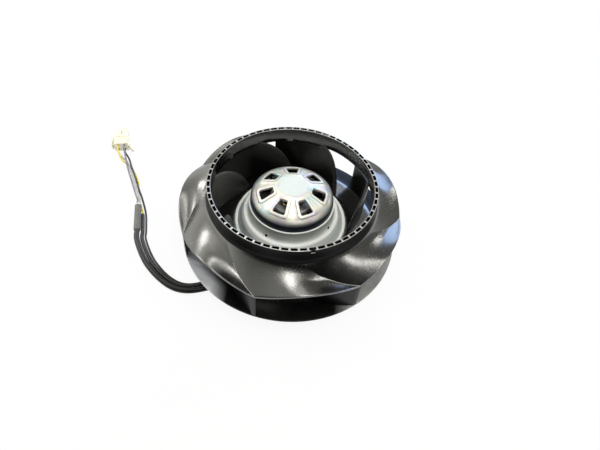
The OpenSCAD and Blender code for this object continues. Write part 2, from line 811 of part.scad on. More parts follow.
stator_flange();
bearing_tube();
lower_outer_ring();
upper_outer_ring();
stator_core();
lower_insulator();
upper_insulator();
coil_windings();
circuit_board();
capacitors();
choke();
power_switches();
position_sensors();
board_screws();
power_grommet();
control_grommet();
single_grommet();
shaft();
rotor_bush();
lower_inner_ring();
upper_inner_ring();
shaft_circlip();
preload_washer();
rotor_bell();
magnet_ring();
label_disc();
impeller_carrier();
impeller_back_plate();
impeller_blades();
impeller_shroud();
inlet_rim();
balance_clip();
lower_ball_set();
upper_ball_set();
power_cable();
control_cable();
single_lead();
shrink_sleeve();
sleeve_ring();
grey_wire();
yellow_wire();
white_wire();
connector_housing();
connector_latch();
crimp_contacts();
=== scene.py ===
# %% [markdown]
# # A fan motor in its centrifugal wheel
# The real object is an external-rotor motor pressed into a black moulded wheel. Its lead lies on the
# table and ends in a small plug. The CAD model gives every size and every joint, so this script
# loads it as a fixed frame and dresses it: it lays the cords, remakes the curved pieces smoothly,
# gives each surface its finish, and sets the light.

# %% Load the frame
import math

import bmesh
import bpy
from mathutils import Matrix, Quaternion, Vector


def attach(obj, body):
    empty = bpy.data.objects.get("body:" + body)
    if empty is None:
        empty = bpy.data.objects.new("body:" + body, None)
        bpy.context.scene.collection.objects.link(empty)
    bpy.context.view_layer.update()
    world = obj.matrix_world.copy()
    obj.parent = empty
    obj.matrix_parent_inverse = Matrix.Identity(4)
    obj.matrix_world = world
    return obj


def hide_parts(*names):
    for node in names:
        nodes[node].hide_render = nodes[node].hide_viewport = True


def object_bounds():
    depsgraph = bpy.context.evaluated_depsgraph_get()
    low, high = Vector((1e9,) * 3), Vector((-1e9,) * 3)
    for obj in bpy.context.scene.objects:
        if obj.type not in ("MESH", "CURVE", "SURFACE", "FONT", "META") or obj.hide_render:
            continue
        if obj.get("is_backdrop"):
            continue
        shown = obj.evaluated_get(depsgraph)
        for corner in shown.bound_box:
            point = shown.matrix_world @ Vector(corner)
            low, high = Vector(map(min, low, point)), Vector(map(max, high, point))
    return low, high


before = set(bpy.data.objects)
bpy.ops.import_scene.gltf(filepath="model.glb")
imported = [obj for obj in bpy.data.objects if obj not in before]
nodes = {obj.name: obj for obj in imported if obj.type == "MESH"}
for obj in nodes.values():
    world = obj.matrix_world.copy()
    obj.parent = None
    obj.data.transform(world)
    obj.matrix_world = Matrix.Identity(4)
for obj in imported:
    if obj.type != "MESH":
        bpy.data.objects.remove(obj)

MM = 0.001
cad_low, cad_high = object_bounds()

# %% [markdown]
# ## The camera
# The photograph looks down on the wheel at about 50 degrees and is tilted by a few degrees. A camera
# can be aimed with a constraint, but a quaternion from the viewing line, turned once more about that
# line for the tilt, leaves nothing live in the scene.

# %% Camera at the photograph's place
LENS, SENSOR, NEAREST, TILT = 29.34, 36.0, 0.01, 6.26
UP = Vector((0.0, 0.0, 1.0))


def link(name, data):
    """A new object of the scene, at the origin."""
    obj = bpy.data.objects.new(name, data)
    bpy.context.scene.collection.objects.link(obj)
    return obj


lens = bpy.data.cameras.new("camera")
lens.lens, lens.sensor_width, lens.clip_start = LENS, SENSOR, NEAREST
camera = link("camera", lens)
bpy.context.scene.camera = camera
camera_at = Vector((9.2, -283.2, 361.3)) * MM
camera_aim = Vector((9.22, 0.0, 21.69)) * MM
camera.location = camera_at
camera.rotation_mode = "QUATERNION"
tilt = Quaternion(UP, math.radians(TILT))
camera.rotation_quaternion = (camera_aim - camera_at).to_track_quat("-Z", "Y") @ tilt
print("camera", [round(x, 4) for x in camera.location])

# %% [markdown]
# ## Helpers for making meshes
# Sizes are written in millimetres, as in the CAD source, and turned into metres once, where a mesh is
# made. Most pieces here are a skin over a row of rings: an outline turned round the axis, swept along
# a path, or changed from station to station. So one function, `loft`, makes the faces for all.

# %% Mesh helpers
SHARP, WELD = 35.0, 0.002


def raw(name, points, faces):
    """A piece from points in millimetres, as they are."""
    mesh = bpy.data.meshes.new(name)
    mesh.from_pydata([Vector(p) * MM for p in points], [], faces)
    return link(name, mesh)


def shade(mesh, sharp=SHARP):
    """Smooth shading up to the sharp angle."""
    mesh.shade_smooth()
    mesh.set_sharp_from_angle(angle=math.radians(sharp))


def tidy(mesh, sharp=SHARP):
    """Welds a mesh, turns its faces outwards and shades it."""
    work = bmesh.new()
    work.from_mesh(mesh)
    bmesh.ops.remove_doubles(work, verts=work.verts, dist=WELD * MM)
    bmesh.ops.recalc_face_normals(work, faces=work.faces)
    work.to_mesh(mesh)
    work.free()
    shade(mesh, sharp)


def solid(name, points, faces, sharp=SHARP):
    piece = raw(name, points, faces)
    tidy(piece.data, sharp)
    return piece


def loft(rings, around=True, loop=False, caps=False):
    """Points and faces of a skin over rings of points. `around` closes each ring, `loop` leads the last
    ring back to the first, and `caps` closes both ends."""
    m, n = len(rings[0]), len(rings)
    faces = []
    for j in range(n if loop else n - 1):
        up = ((j + 1) % n - j) * m
        for k in range(m if around else m - 1):
            a, b = j * m + k, j * m + (k + 1) % m
            faces.append((a, b, b + up, a + up))
    if caps:
        faces += [tuple(range(m)), tuple(range((n - 1) * m, n * m))]
    return [point for ring in rings for point in ring], faces


def turns(count):
    return [math.tau * k / count for k in range(count)]


def dress(piece, material, body, slot, *replaced):
    """Gives a finished piece its material and its CAD body, and hides the nodes that it stands for. The slot
    is not used.
    """
    piece.data.materials.clear()
    piece.data.materials.append(material)
    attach(piece, body)
    if replaced:
        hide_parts(*replaced)


print("mesh helpers ready")

# %% [markdown]
# ## Two shared effects
# Moulded, pressed and extruded surfaces all vary a little. *Mottle* is a slow change over
# centimetres, used for tone and gloss. *Fine marks* is a thin scratch and grain pattern, used as a
# bump and to break up the gloss. Both are node groups, so that each material places them with its own
# values, and the shader itself stays in the material.

# %% Node helpers
def feed(tree, target, key, value):
    """Sets an input, or joins it to a node's first output or to the output that a pair names."""
    source, output = value if isinstance(value, tuple) and len(value) == 2 else (value, 0)
    if isinstance(source, bpy.types.Node):
        tree.links.new(source.outputs[output], target.inputs[key])
    else:
        target.inputs[key].default_value = value


def add(tree, kind, values=None, **settings):
    """A new node with its settings, and with its inputs set or joined."""
    made = tree.nodes.new(kind if "Node" in kind else "ShaderNode" + kind)
    for key, value in settings.items():
        setattr(made, key, value)
    for key, value in (values or {}).items():
        feed(tree, made, key, value)
    return made


def calc(tree, operation, *values):
    return add(tree, "Math", dict(enumerate(values)), operation=operation)


def ranged(tree, value, first, last, low=0.0, high=1.0):
    """A value that goes from low to high while another goes from first to last."""
    ends = {"From Min": first, "From Max": last, "To Min": low, "To Max": high}
    return add(tree, "MapRange", {"Value": value, **ends})


def mixed(tree, share, first, second, how="MIX"):
    """A colour mixed from two tones or nodes."""
    first, second = ((*c, 1.0) if isinstance(c, tuple) else c for c in (first, second))
    return add(tree, "MixRGB", {"Fac": share, "Color1": first, "Color2": second}, blend_type=how)


def group(name, inputs, outputs):
    """A new shader group with its input and output nodes. All outputs are plain values."""
    made = bpy.data.node_groups.new(name, "ShaderNodeTree")
    for title, kind, value in inputs:
        socket = made.interface.new_socket(title, in_out="INPUT", socket_type="NodeSocket" + kind)
        if value is not None:
            socket.default_value = value
    for title in outputs:
        made.interface.new_socket(title, in_out="OUTPUT", socket_type="NodeSocketFloat")
    return made, made.nodes.new("NodeGroupInput"), made.nodes.new("NodeGroupOutput")


print("node helpers ready")

# %% The two groups
EVEN = (1.0, 1.0, 1.0)
mottle, start, end = group("mottle", [("Vector", "Vector", None), ("Scale", "Float", 40.0)], ["Mask"])
wide = add(mottle, "TexNoise", {
    "Vector": (start, "Vector"), "Scale": (start, "Scale"),
    "Detail": 3.0, "Roughness": 0.55, "Distortion": 0.6})
feed(mottle, end, "Mask", ranged(mottle, wide, 0.3, 0.7))

marks, start, end = group("fine_marks", [
    ("Vector", "Vector", None), ("Scale", "Float", 900.0), ("Stretch", "Vector", EVEN)], ["Mask", "Height"])
place = (start, "Vector")
drawn = add(marks, "VectorMath", {0: place, 1: (start, "Stretch")}, operation="MULTIPLY")
grain = add(marks, "TexNoise", {"Vector": drawn, "Scale": (start, "Scale"), "Detail": 4.0, "Roughness": 0.6})
curl = add(marks, "TexNoise", {"Vector": place, "Scale": 55.0, "Detail": 2.0, "Distortion": 2.5})
lines = add(marks, "TexWave", {
    "Vector": place, "Scale": 60.0, "Distortion": 18.0, "Detail": 3.0, "Detail Scale": 2.2})
scuff = calc(marks, "MULTIPLY", ranged(marks, (lines, "Fac"), 0.8, 1.0), ranged(marks, curl, 0.5, 0.66))
feed(marks, end, "Mask", scuff)
feed(marks, end, "Height", calc(marks, "MULTIPLY_ADD", scuff, 0.5, grain))
print("groups:", mottle.name, "and", marks.name)

# %% [markdown]
# ## A finish from a few values
# Plain finishes differ in tone, gloss, grain and metal, not in kind. One function builds the nodes:
# mottle drives a colour ramp and the roughness, and fine marks drive a bump. Whatever is the same all
# over is set on the shader's own socket, where an export can read it. A second function adds a pale
# film that fades along an axis: painted light, where a part looks more lit on one side than the other.

# %% The functions for plain finishes and painted light
def finish(name, tones, gloss, scale=45.0, bump=0.12, grain_scale=900.0, stretch=EVEN, **plain):
    """A material whose tone and gloss follow the mottle and whose bump follows the fine marks. Other
    values go to the shader's own sockets."""
    material = bpy.data.materials.new(name)
    material.use_nodes = True
    tree = material.node_tree
    shader = tree.nodes["Principled BSDF"]
    for socket, value in plain.items():
        shader.inputs[socket.replace("_", " ")].default_value = value
    place = (add(tree, "TexCoord"), "Object")
    slow = add(tree, "Group", {"Vector": place, "Scale": scale}, node_tree=mottle)
    fine = add(tree, "Group", {"Vector": place, "Scale": grain_scale, "Stretch": stretch}, node_tree=marks)
    ramp = add(tree, "ValToRGB", {"Fac": slow})
    stops = ramp.color_ramp.elements
    while len(stops) < len(tones):
        stops.new(0.5)
    for i, tone in enumerate(tones):
        stops[i].position = i / (len(tones) - 1)
        stops[i].color = (*tone, 1.0)
    feed(tree, shader, "Base Color", ramp)
    feed(tree, shader, "Roughness", ranged(tree, slow, 0.0, 1.0, *gloss))
    relief = add(tree, "Bump", {"Height": (fine, "Height"), "Strength": bump, "Distance": 0.2 * MM})
    feed(tree, shader, "Normal", relief)
    return material


def parts_of(material):
    return material.node_tree, material.node_tree.nodes["Principled BSDF"]


def node_of(tree, kind, inner=None):
    """The tree's first node of a type, or the one that holds a given group."""
    return next(n for n in tree.nodes if n.type == kind and (inner is None or n.node_tree == inner))


def place_in(tree):
    return (node_of(tree, "TEX_COORD"), "Object")


def tone_along(tree, axis, first, last, start, end):
    """A colour that runs from one tone to another between two places on an axis, in millimetres."""
    split = add(tree, "SeparateXYZ", {0: place_in(tree)})
    return mixed(tree, ranged(tree, (split, axis), first * MM, last * MM), start, end)


def paint_light(material, axis, first, last, start, end):
    """Adds to a finish a painted film of light whose tone changes along an axis."""
    tree, shader = parts_of(material)
    under = shader.inputs["Base Color"].links[0].from_node
    film = tone_along(tree, axis, first, last, start, end)
    feed(tree, shader, "Base Color", mixed(tree, 1.0, under, film, "ADD"))


def grey(level):
    return (level, level, level)


print("finish and dust ready")

# %% [markdown]
# The lead needs eight finishes. The jackets are black PVC with a faint sheen, and towards the plug
# they are painted paler, as sheen. The sleeve is grey, the plug is ivory nylon, and the wires are
# grey, yellow and white.

# %% Finishes of the lead
# No painted light: the end of a film where nothing is added.
UNLIT = grey(0.0)
jacket = finish("cable_jacket", [grey(0.003), grey(0.008)], (0.26, 0.36), 90.0, 0.15, Specular_IOR_Level=0.35)
# The jacket is painted paler towards the plug: painted sheen.
paint_light(jacket, "Y", -60.0, -16.0, UNLIT, (0.05, 0.05, 0.047))
sleeve_grey = finish("sleeve_grey", [(0.15, 0.145, 0.135), (0.20, 0.195, 0.185)], (0.45, 0.6), 120.0, 0.2)
nylon = finish("nylon_ivory", [(0.90, 0.87, 0.68), (0.94, 0.91, 0.76)], (0.38, 0.5), 160.0, 0.1)
grey_pvc = finish("wire_grey", [(0.20, 0.19, 0.22), (0.29, 0.27, 0.31)], (0.4, 0.52), 150.0)
yellow_pvc = finish("wire_yellow", [(0.84, 0.68, 0.05), (0.90, 0.76, 0.10)], (0.4, 0.52), 150.0)
white_pvc = finish("wire_white", [(0.44, 0.42, 0.43), (0.56, 0.54, 0.54)], (0.4, 0.52), 150.0)
# White for the sleeve's cut edge; the same white is painted at the clip's foot as a highlight.
ring_white_and_glint = finish("ring_white_and_glint", [(0.74, 0.74, 0.73), (0.82, 0.82, 0.81)], (0.4, 0.5), 150.0)
brass = finish("crimp_brass", [(0.62, 0.44, 0.16), (0.74, 0.55, 0.24)], (0.25, 0.4), 140.0, Metallic=1.0)
print("jacket with", len(jacket.node_tree.nodes), "nodes")

# %% [markdown]
# ## The lead
# Two jacketed cables and one thin single lead leave the motor side by side. They lie on the table in
# one sweep to the left and turn up to the plug, and the photograph shows them from the wheel's edge to
# the plug. Each could be a mesh tube, but a Bezier curve with a round bevel keeps its centreline, so
# its length can be measured. The route points are those of the CAD source, as x, y and the height of
# the underside.

# %% Routes of the lead
POWER_D, CONTROL_D, SINGLE_D, WIRE_D = 5.0, 3.6, 1.9, 1.7
SLEEVE_D, RING_L, WIRE_APART = POWER_D + 1.3, 1.5, 1.1
OUTLET_Z, OUTLET_RADII, PLUG_STRAIGHT = 8.0, (49.0, 55.0), (5.0, 0.0)
SOCKETS = {"single": (3.2, 2.6), "grey": (3.2, 7.4), "yellow": (-3.2, 7.4), "white": (-3.2, 2.6)}
outlet_turn = math.radians(-135.0)
outlet_dir = Vector((math.cos(outlet_turn), math.sin(outlet_turn), 0.0))
outlet_side = Vector((-math.sin(outlet_turn), math.cos(outlet_turn), 0.0))
PLUG_AT, PLUG_TURN = Vector((-186.5, 93.5, 0.0)), math.radians(15.0)
plug_dir = Vector((-math.sin(PLUG_TURN), math.cos(PLUG_TURN), 0.0))
plug_side = Vector((math.cos(PLUG_TURN), math.sin(PLUG_TURN), 0.0))


def from_outlet(offset):
    return [outlet_dir * r + outlet_side * offset + UP * OUTLET_Z for r in OUTLET_RADII]


def laid(points, diameter):
    return [Vector((x, y, z + diameter / 2)) for x, y, z in points]


def into_plug(socket):
    across, height = SOCKETS[socket]
    return [PLUG_AT + plug_side * across - plug_dir * back + UP * height for back in PLUG_STRAIGHT]


sleeve_route = laid([(-138.6, -12.6, 0.8), (-141.95, 0.9, 1.6), (-145.1, 14.7, 2.95)], SLEEVE_D)
sleeve_in = (sleeve_route[1] - sleeve_route[0]).normalized()
sleeve_out = (sleeve_route[2] - sleeve_route[1]).normalized()
sleeve_flat = Vector((sleeve_out.x, sleeve_out.y, 0.0)).normalized()
sleeve_side = sleeve_out.cross(UP)
ring_end = sleeve_route[2] + sleeve_out * RING_L
control_end = Vector((-139.9, 8.2, CONTROL_D / 2))
power_route = from_outlet(6.4) + laid([
    (-46, -53.5, 1.8), (-56, -60.3, 0), (-65, -64.9, 0), (-73.3, -67.9, 0), (-80.8, -69.2, 0),
    (-88.6, -68.6, 0), (-96.9, -65.5, 0), (-105.4, -60.1, 0), (-113.8, -53.1, 0), (-121.9, -44.6, 0),
    (-130, -33, 0)], POWER_D)
power_route += [sleeve_route[0] - sleeve_in * 9, sleeve_route[0]]
control_route = from_outlet(-2.4) + laid([
    (-49, -49.2, 1.8), (-58.5, -56.1, 0), (-66.8, -60.8, 0), (-74.5, -63.6, 0), (-81, -64.8, 0),
    (-87.6, -64.3, 0), (-94.9, -61.5, 0), (-102.8, -56.5, 0), (-110.8, -49.9, 0), (-118.4, -41.8, 0),
    (-126.2, -30.6, 0), (-132.3, -19.6, 0), (-134.1, -11.5, 0), (-137.8, 2, 0)], CONTROL_D)
control_route += [control_end]
single_route = from_outlet(-9.4) + laid([
    (-52.5, -45.7, 1.8), (-60.2, -53.3, 0), (-68, -58, 0), (-75.2, -60.9, 0), (-81.1, -62, 0),
    (-87, -61.5, 0), (-93.6, -59, 0), (-101.1, -54.3, 0), (-108.7, -47.7, 0), (-116.1, -39.9, 0),
    (-123.6, -29, 0), (-129.4, -18.4, 0), (-131.2, -10.8, 0), (-133.8, -1.2, 0), (-135.6, 5, 0),
    (-138, 11.6, 0), (-141.8, 19.8, 0), (-147.4, 30.5, 0.9), (-151.9, 38.1, 1.9), (-157.4, 48.4, 1.9),
    (-163.2, 59, 1.9), (-169.4, 69.9, 1.9), (-174.7, 79.7, 1.7)], SINGLE_D)
single_route += into_plug("single")
grey_start = ring_end - sleeve_side * WIRE_APART
grey_route = [grey_start, grey_start + sleeve_out * 6] + laid([
    (-152.5, 30.2, 3.8), (-156.4, 37.5, 1.9), (-163.3, 50.3, 1.9), (-170.4, 63.4, 2.3),
    (-176.4, 76.2, 4.1)], WIRE_D)
grey_route += into_plug("grey")
yellow_route = [control_end, control_end + sleeve_flat * 3] + laid([
    (-143.4, 16.6, 0), (-147.6, 24.6, 0), (-151, 33.4, 0), (-154.4, 44.6, 0), (-158, 52.9, 0),
    (-163.4, 61.4, 0), (-169.6, 68.8, 0), (-176, 74, 0), (-181.5, 77.6, 1.6), (-185, 82.2, 4.6)], WIRE_D)
yellow_route += into_plug("yellow")
white_start = ring_end + sleeve_side * WIRE_APART
white_route = [white_start, white_start + sleeve_out * 6] + laid([
    (-150.1, 30.6, 3.8), (-154.2, 37.9, 1.9), (-161.4, 51.3, 1.9), (-168.6, 64.5, 1.9),
    (-175.4, 75.3, 1.8), (-182.4, 81.2, 1.6)], WIRE_D)
white_route += into_plug("white")
print("routes laid:", len(power_route), len(control_route), len(single_route), len(grey_route))

# %% [markdown]
# A smooth curve through given points needs a slope at each of them. Here it is a sixth of the step
# from the point before to the point after, on either side, which is the same rule that the CAD cord
# follows, so the two lie in the same place. A point that lies on the table has no slope up or down,
# so that the cord doesn't dip into the table beside it.

# %% Lay the cords
ON_TABLE = 0.05


def lay_cord(name, route, diameter):
    curve = bpy.data.curves.new(name, "CURVE")
    curve.dimensions = "3D"
    curve.bevel_depth = diameter / 2 * MM
    curve.bevel_resolution, curve.resolution_u = 4, 6
    curve.use_fill_caps = True
    spline = curve.splines.new("BEZIER")
    spline.bezier_points.add(len(route) - 1)
    for i, point in enumerate(route):
        slope = (route[min(i + 1, len(route) - 1)] - route[max(i - 1, 0)]) / 6
        if point.z < diameter / 2 + ON_TABLE:
            slope.z = 0.0
        knot = spline.bezier_points[i]
        knot.handle_left_type = knot.handle_right_type = "FREE"
        knot.co, knot.handle_left, knot.handle_right = point * MM, (point - slope) * MM, (point + slope) * MM
    return link(name, curve), spline.calc_length()


cords = {}
for name, node, route, diameter, material, slot in [
    ("power_cord", "power_cable", power_route, POWER_D, jacket, "cable_jacket"),
    ("control_cord", "control_cable", control_route, CONTROL_D, jacket, "cable_jacket"),
    ("single_cord", "single_lead", single_route, SINGLE_D, jacket, "cable_jacket"),
    ("grey_cord", "grey_wire", grey_route, WIRE_D, grey_pvc, "wire_grey"),
    ("yellow_cord", "yellow_wire", yellow_route, WIRE_D, yellow_pvc, "wire_yellow"),
    ("white_cord", "white_wire", white_route, WIRE_D, white_pvc, "wire_white"),
]:
    piece, length = lay_cord(name, route, diameter)
    dress(piece, material, "stator", slot, node)
    cords[name] = (piece, route, diameter, length)
    print(name, round(length * 1000, 1), "mm long,", diameter, "mm thick")

# %% [markdown]
# The grey shrink sleeve grips the end of the power cable, and a white cut edge shows at its top. Both
# are round but not quite straight, so they are swept along the same smooth route, with a radius for
# each ring: the sleeve is drawn in at its ends and a little uneven in between.

# %% Shrink sleeve and its end
PINCH, SHRUNK, UNEVEN = 0.35, 0.04, 0.05


def smooth_route(route, steps):
    """Points on the same curve that the cords follow."""
    fine = []
    for i in range(len(route) - 1):
        p, q, r, s = route[max(i - 1, 0)], route[i], route[i + 1], route[min(i + 2, len(route) - 1)]
        for k in range(steps):
            t = k / steps
            curved = (p * 2 - q * 5 + r * 4 - s) * t * t + (q * 3 - p - r * 3 + s) * t ** 3
            fine.append((q * 2 + (r - p) * t + curved) / 2)
    return fine + [route[-1]]


def swept(name, path, radii, sides=28):
    """A round bar along a path, with a radius for each point of the path."""
    rings = []
    for i, centre in enumerate(path):
        along = (path[min(i + 1, len(path) - 1)] - path[max(i - 1, 0)]).normalized()
        side = UP.cross(along).normalized()
        up = along.cross(side)
        rings.append([centre + (side * math.cos(t) + up * math.sin(t)) * radii[i] for t in turns(sides)])
    return solid(name, *loft(rings, caps=True), sharp=40.0)


sleeve_path = smooth_route(sleeve_route, 16)
sleeve_radii = []
for i in range(len(sleeve_path)):
    t = i / (len(sleeve_path) - 1)
    drawn_in = PINCH * (max(0.0, 1 - t / 0.08) ** 2 + max(0.0, (t - 0.94) / 0.06) ** 2)
    sleeve_radii.append(SLEEVE_D / 2 - SHRUNK + UNEVEN * math.sin(9 * t) - drawn_in)
sleeve = swept("sleeve", sleeve_path, sleeve_radii)
dress(sleeve, sleeve_grey, "stator", "sleeve_grey", "shrink_sleeve")
ring_path = [sleeve_route[2] + sleeve_out * RING_L * t for t in (0.0, 0.08, 0.25, 0.75, 0.92, 1.0)]
ring_radii = [SLEEVE_D / 2 + 0.25 - d for d in (PINCH, 0.1, 0.0, 0.0, 0.1, PINCH)]
cut_edge = swept("sleeve_end", ring_path, ring_radii)
dress(cut_edge, ring_white_and_glint, "stator", "nylon_ivory", "sleeve_ring")
print("sleeve of", len(sleeve.data.polygons), "faces")

# %% [markdown]
# The plug is a nylon housing with two rows of two sockets, a guide on its left and a sprung latch on
# its right. It is built as the mould would be read: bevelled blocks for the body, and straight pins
# that leave the sockets. A Boolean modifier takes the sockets out, because they run right through.

# %% Helpers for the plug
def blocks(name, boxes, bevel):
    """Bevelled boxes in the plug's own axes, each given by its low and high corner."""
    work = bmesh.new()
    for low, high in boxes:
        made = bmesh.ops.create_cube(work, size=1.0)["verts"]
        centre = (Vector(low) + Vector(high)) / 2
        size = Vector(high) - Vector(low)
        for v in made:
            v.co = Vector(v.co[i] * size[i] + centre[i] for i in range(3)) * MM
        edges = list({e for v in made for e in v.link_edges})
        bmesh.ops.bevel(work, geom=edges, offset=bevel * MM, segments=2, profile=0.6, affect="EDGES")
    mesh = bpy.data.meshes.new(name)
    work.to_mesh(mesh)
    work.free()
    return link(name, mesh)


def pins(name, sockets, line, sides=24):
    """Round pins in the named sockets, turned from a line of length along the plug and radius."""
    points, faces = [], []
    for x, z in (SOCKETS[key] for key in sockets):
        rings = [[(x + r * math.cos(t), y, z + r * math.sin(t)) for t in turns(sides)] for y, r in line]
        more, skin = loft(rings, caps=True)
        faces += [tuple(len(points) + i for i in face) for face in skin]
        points += more
    return solid(name, points, faces)


def applied(obj):
    """The evaluated shape as a plain mesh on the same object, with no modifier left."""
    shape = bpy.data.meshes.new_from_object(obj.evaluated_get(bpy.context.evaluated_depsgraph_get()))
    obj.modifiers.clear()
    obj.data = shape


def cut(target, tool):
    knife = target.modifiers.new("cut", "BOOLEAN")
    knife.operation, knife.solver, knife.object = "DIFFERENCE", "EXACT", tool
    applied(target)
    bpy.data.objects.remove(tool)


def absorb(piece, *others):
    """Joins other pieces' meshes into one piece."""
    work = bmesh.new()
    for part in (piece, *others):
        work.from_mesh(part.data)
    work.to_mesh(piece.data)
    work.free()
    for part in others:
        bpy.data.objects.remove(part)
    return piece


def seat_plug(obj):
    """Puts a part made in the plug's own axes in its place, inside its mesh."""
    obj.data.transform(Matrix.Translation(PLUG_AT * MM) @ Matrix.Rotation(PLUG_TURN, 4, "Z"))
    shade(obj.data)
    return obj


print("plug helpers ready")

# %% [markdown]
# A pressed or moulded edge is never quite sharp. `soften` replaces each corner of an outline by a
# short curve, so the latch, and later the turned pieces, get their radii before they become meshes.

# %% Plug
CORNER_MOST = 0.45


def bend(first, corner, last, steps):
    """Points on a short curve that leaves towards a corner and arrives from it."""
    shares = [k / steps for k in range(steps + 1)]
    return [first * (1 - t) ** 2 + corner * 2 * t * (1 - t) + last * t * t for t in shares]


def rounded(before, corner, after, radius, most, steps):
    """The corner as a curve that takes up to a given share of the sides beside it."""
    ends = [corner + p.normalized() * min(radius, p.length * most) for p in (before - corner, after - corner)]
    return bend(ends[0], corner, ends[1], steps)


def soften(outline, radii, steps=3):
    """The closed outline with soft corners. There is one radius for all, or one for each."""
    corners = [Vector(p) for p in outline]
    radii = [radii] * len(corners) if isinstance(radii, float) else radii
    soft = []
    for i, (corner, radius) in enumerate(zip(corners, radii)):
        soft += rounded(corners[i - 1], corner, corners[(i + 1) % len(corners)], radius, CORNER_MOST, steps)
    return soft


housing = blocks("plug_body", [((-7.1, 0, 0), (7.1, 16, 10))], 0.45)
cut(housing, pins("body_sockets", SOCKETS, [(-1.0, 1.2), (3.0, 1.2), (3.6, 1.5), (17.0, 1.5)]))
cut(housing, blocks("groove", [((-9, 10, 9.4), (9, 11.2, 11))], 0.1))
noses = blocks("plug_noses", [((-6.0, 15.5, 0.8), (-0.4, 26, 9.2)), ((0.4, 15.5, 0.8), (6.0, 26, 9.2))], 0.5)
cut(noses, pins("nose_sockets", SOCKETS, [(15.0, 1.5), (27.0, 1.5)]))
guide = blocks("plug_guide", [
    ((-9.9, 2, 1.5), (-8.9, 13, 7.5)), ((-9.6, 2, 1.5), (-6.6, 13, 2.8)), ((-1, 15.5, 4), (1, 24, 6)),
    ((-7.9, 2, 2.5), (-6.8, 13, 7.5))], 0.25)
seat_plug(absorb(housing, noses, guide))
dress(housing, nylon, "stator", "nylon_ivory", "connector_housing")
contact_line = [
    (0.05, 0.95), (0.3, 1.1), (4.0, 1.1), (4.4, 0.95), (6.5, 0.95), (6.9, 1.25), (14.6, 1.25), (15.0, 1.0)]
contacts = {}
for key in SOCKETS:
    contacts[key] = seat_plug(pins(key + "_contact", [key], contact_line))
    dress(contacts[key], brass, "stator", "bush_brass", "crimp_contacts")
LATCH_LOW, LATCH_HIGH = 3.0, 6.6
lever = soften([(7.1, 7.0), (8.3, 6.4), (8.7, 1.0), (12.7, -6.6), (11.5, -7.0), (7.1, 0.4)], 0.6)
sides = [[(p.x, p.y, z) for p in lever] for z in (LATCH_LOW, LATCH_HIGH)]
latch = seat_plug(solid("plug_latch", *loft(sides, caps=True)))
dress(latch, nylon, "stator", "nylon_ivory", "connector_latch")
print("plug of", len(housing.data.polygons), "faces")

# %% [markdown]
# Last for the lead, a table gives each cord's far end, its stiffness and the pieces that it carries,
# and a loop reads each cord's route, thickness and length beside them. Only the stretch under the wheel
# is hidden in the photograph, and it runs straight to the outlet, so no length is coiled up or put away.

facts = {
    "power_cord": ("fitting", "medium", [sleeve, cut_edge]),
    "control_cord": ("bare", "medium", []),
    "single_cord": ("connector", "limp", [housing, latch, contacts["single"]]),
    "grey_cord": ("connector", "limp", [contacts["grey"]]),
    "yellow_cord": ("connector", "limp", [contacts["yellow"]]),
    "white_cord": ("connector", "limp", [contacts["white"]]),
}
for name, (far_end, stiffness, carried) in facts.items():
    piece, route, diameter, length = cords[name]
print(len(facts), "cords declared,", round(sum(c[3] for c in cords.values()), 3), "m in all")

# %% [markdown]
# ## Copies round the axis
# The wheel repeats: seven blades and shroud panels, sixty-three balancing pockets, seven vents and
# twelve coils. One Geometry Nodes tree serves them all. It puts a point for each copy, turns the
# piece by its share of a full turn, makes the copies real and welds the seams. Its sizes are named
# inputs, and the result becomes a plain mesh, because an export drops instances.

# %% The tree for copies round the axis
SEAM = 0.004
ring = bpy.data.node_groups.new("copies_round_axis", "GeometryNodeTree")
sockets = {}
for title, kind in [("Geometry", "Geometry"), ("Count", "Int"), ("Phase", "Float"), ("Weld", "Float"),
                    ("Material", "Material")]:
    sockets[title] = ring.interface.new_socket(title, in_out="INPUT", socket_type="NodeSocket" + kind)
ring.interface.new_socket("Geometry", in_out="OUTPUT", socket_type="NodeSocketGeometry")
given, result = ring.nodes.new("NodeGroupInput"), ring.nodes.new("NodeGroupOutput")
count = (given, "Count")
spots = add(ring, "GeometryNodePoints", {"Count": count})
share = calc(ring, "DIVIDE", add(ring, "GeometryNodeInputIndex"), count)
spin = add(ring, "CombineXYZ", {"Z": calc(ring, "MULTIPLY_ADD", share, math.tau, (given, "Phase"))})
turn = add(ring, "FunctionNodeEulerToRotation", {0: spin})
copies = add(ring, "GeometryNodeInstanceOnPoints", {
    "Points": spots, "Instance": (given, "Geometry"), "Rotation": turn})
real = add(ring, "GeometryNodeRealizeInstances", {0: copies})
weld = add(ring, "GeometryNodeMergeByDistance", {"Geometry": real, "Distance": (given, "Weld")})
coat = add(ring, "GeometryNodeSetMaterial", {"Geometry": weld, "Material": (given, "Material")})
feed(ring, result, 0, coat)


def repeat(piece, count, phase, material, sharp=SHARP):
    """The piece copied round the axis as one plain mesh."""
    step = piece.modifiers.new("copies", "NODES")
    step.node_group = ring
    for title, value in [("Count", count), ("Phase", math.radians(phase)), ("Weld", SEAM * MM),
                         ("Material", material)]:
        step[sockets[title].identifier] = value
    applied(piece)
    tidy(piece.data, sharp)
    return piece


print("tree:", ring.name, "with inputs", list(sockets))

# %% [markdown]
# ## The wheel's plastic
# The wheel is moulded in black glass-filled nylon with a satin skin. Handling has left fine swirls in
# it, so its gloss is not even: broad soft lights run over the shroud and break up along the swirls.
# The fine marks raise the roughness where they lie and lift the skin by a few micrometres. Blades,
# neck and plate are duller than the shroud, and blades and neck are also darker copies, painted shade.
# The blades are painted paler towards the inlet and on the left, as sheen. The edge of the plate is
# worn pale and painted brighter on the left, as light, the top of the rim is painted pale, and the
# creases get a pale tone painted as their highlight. So one function takes the gloss and the pale
# places.

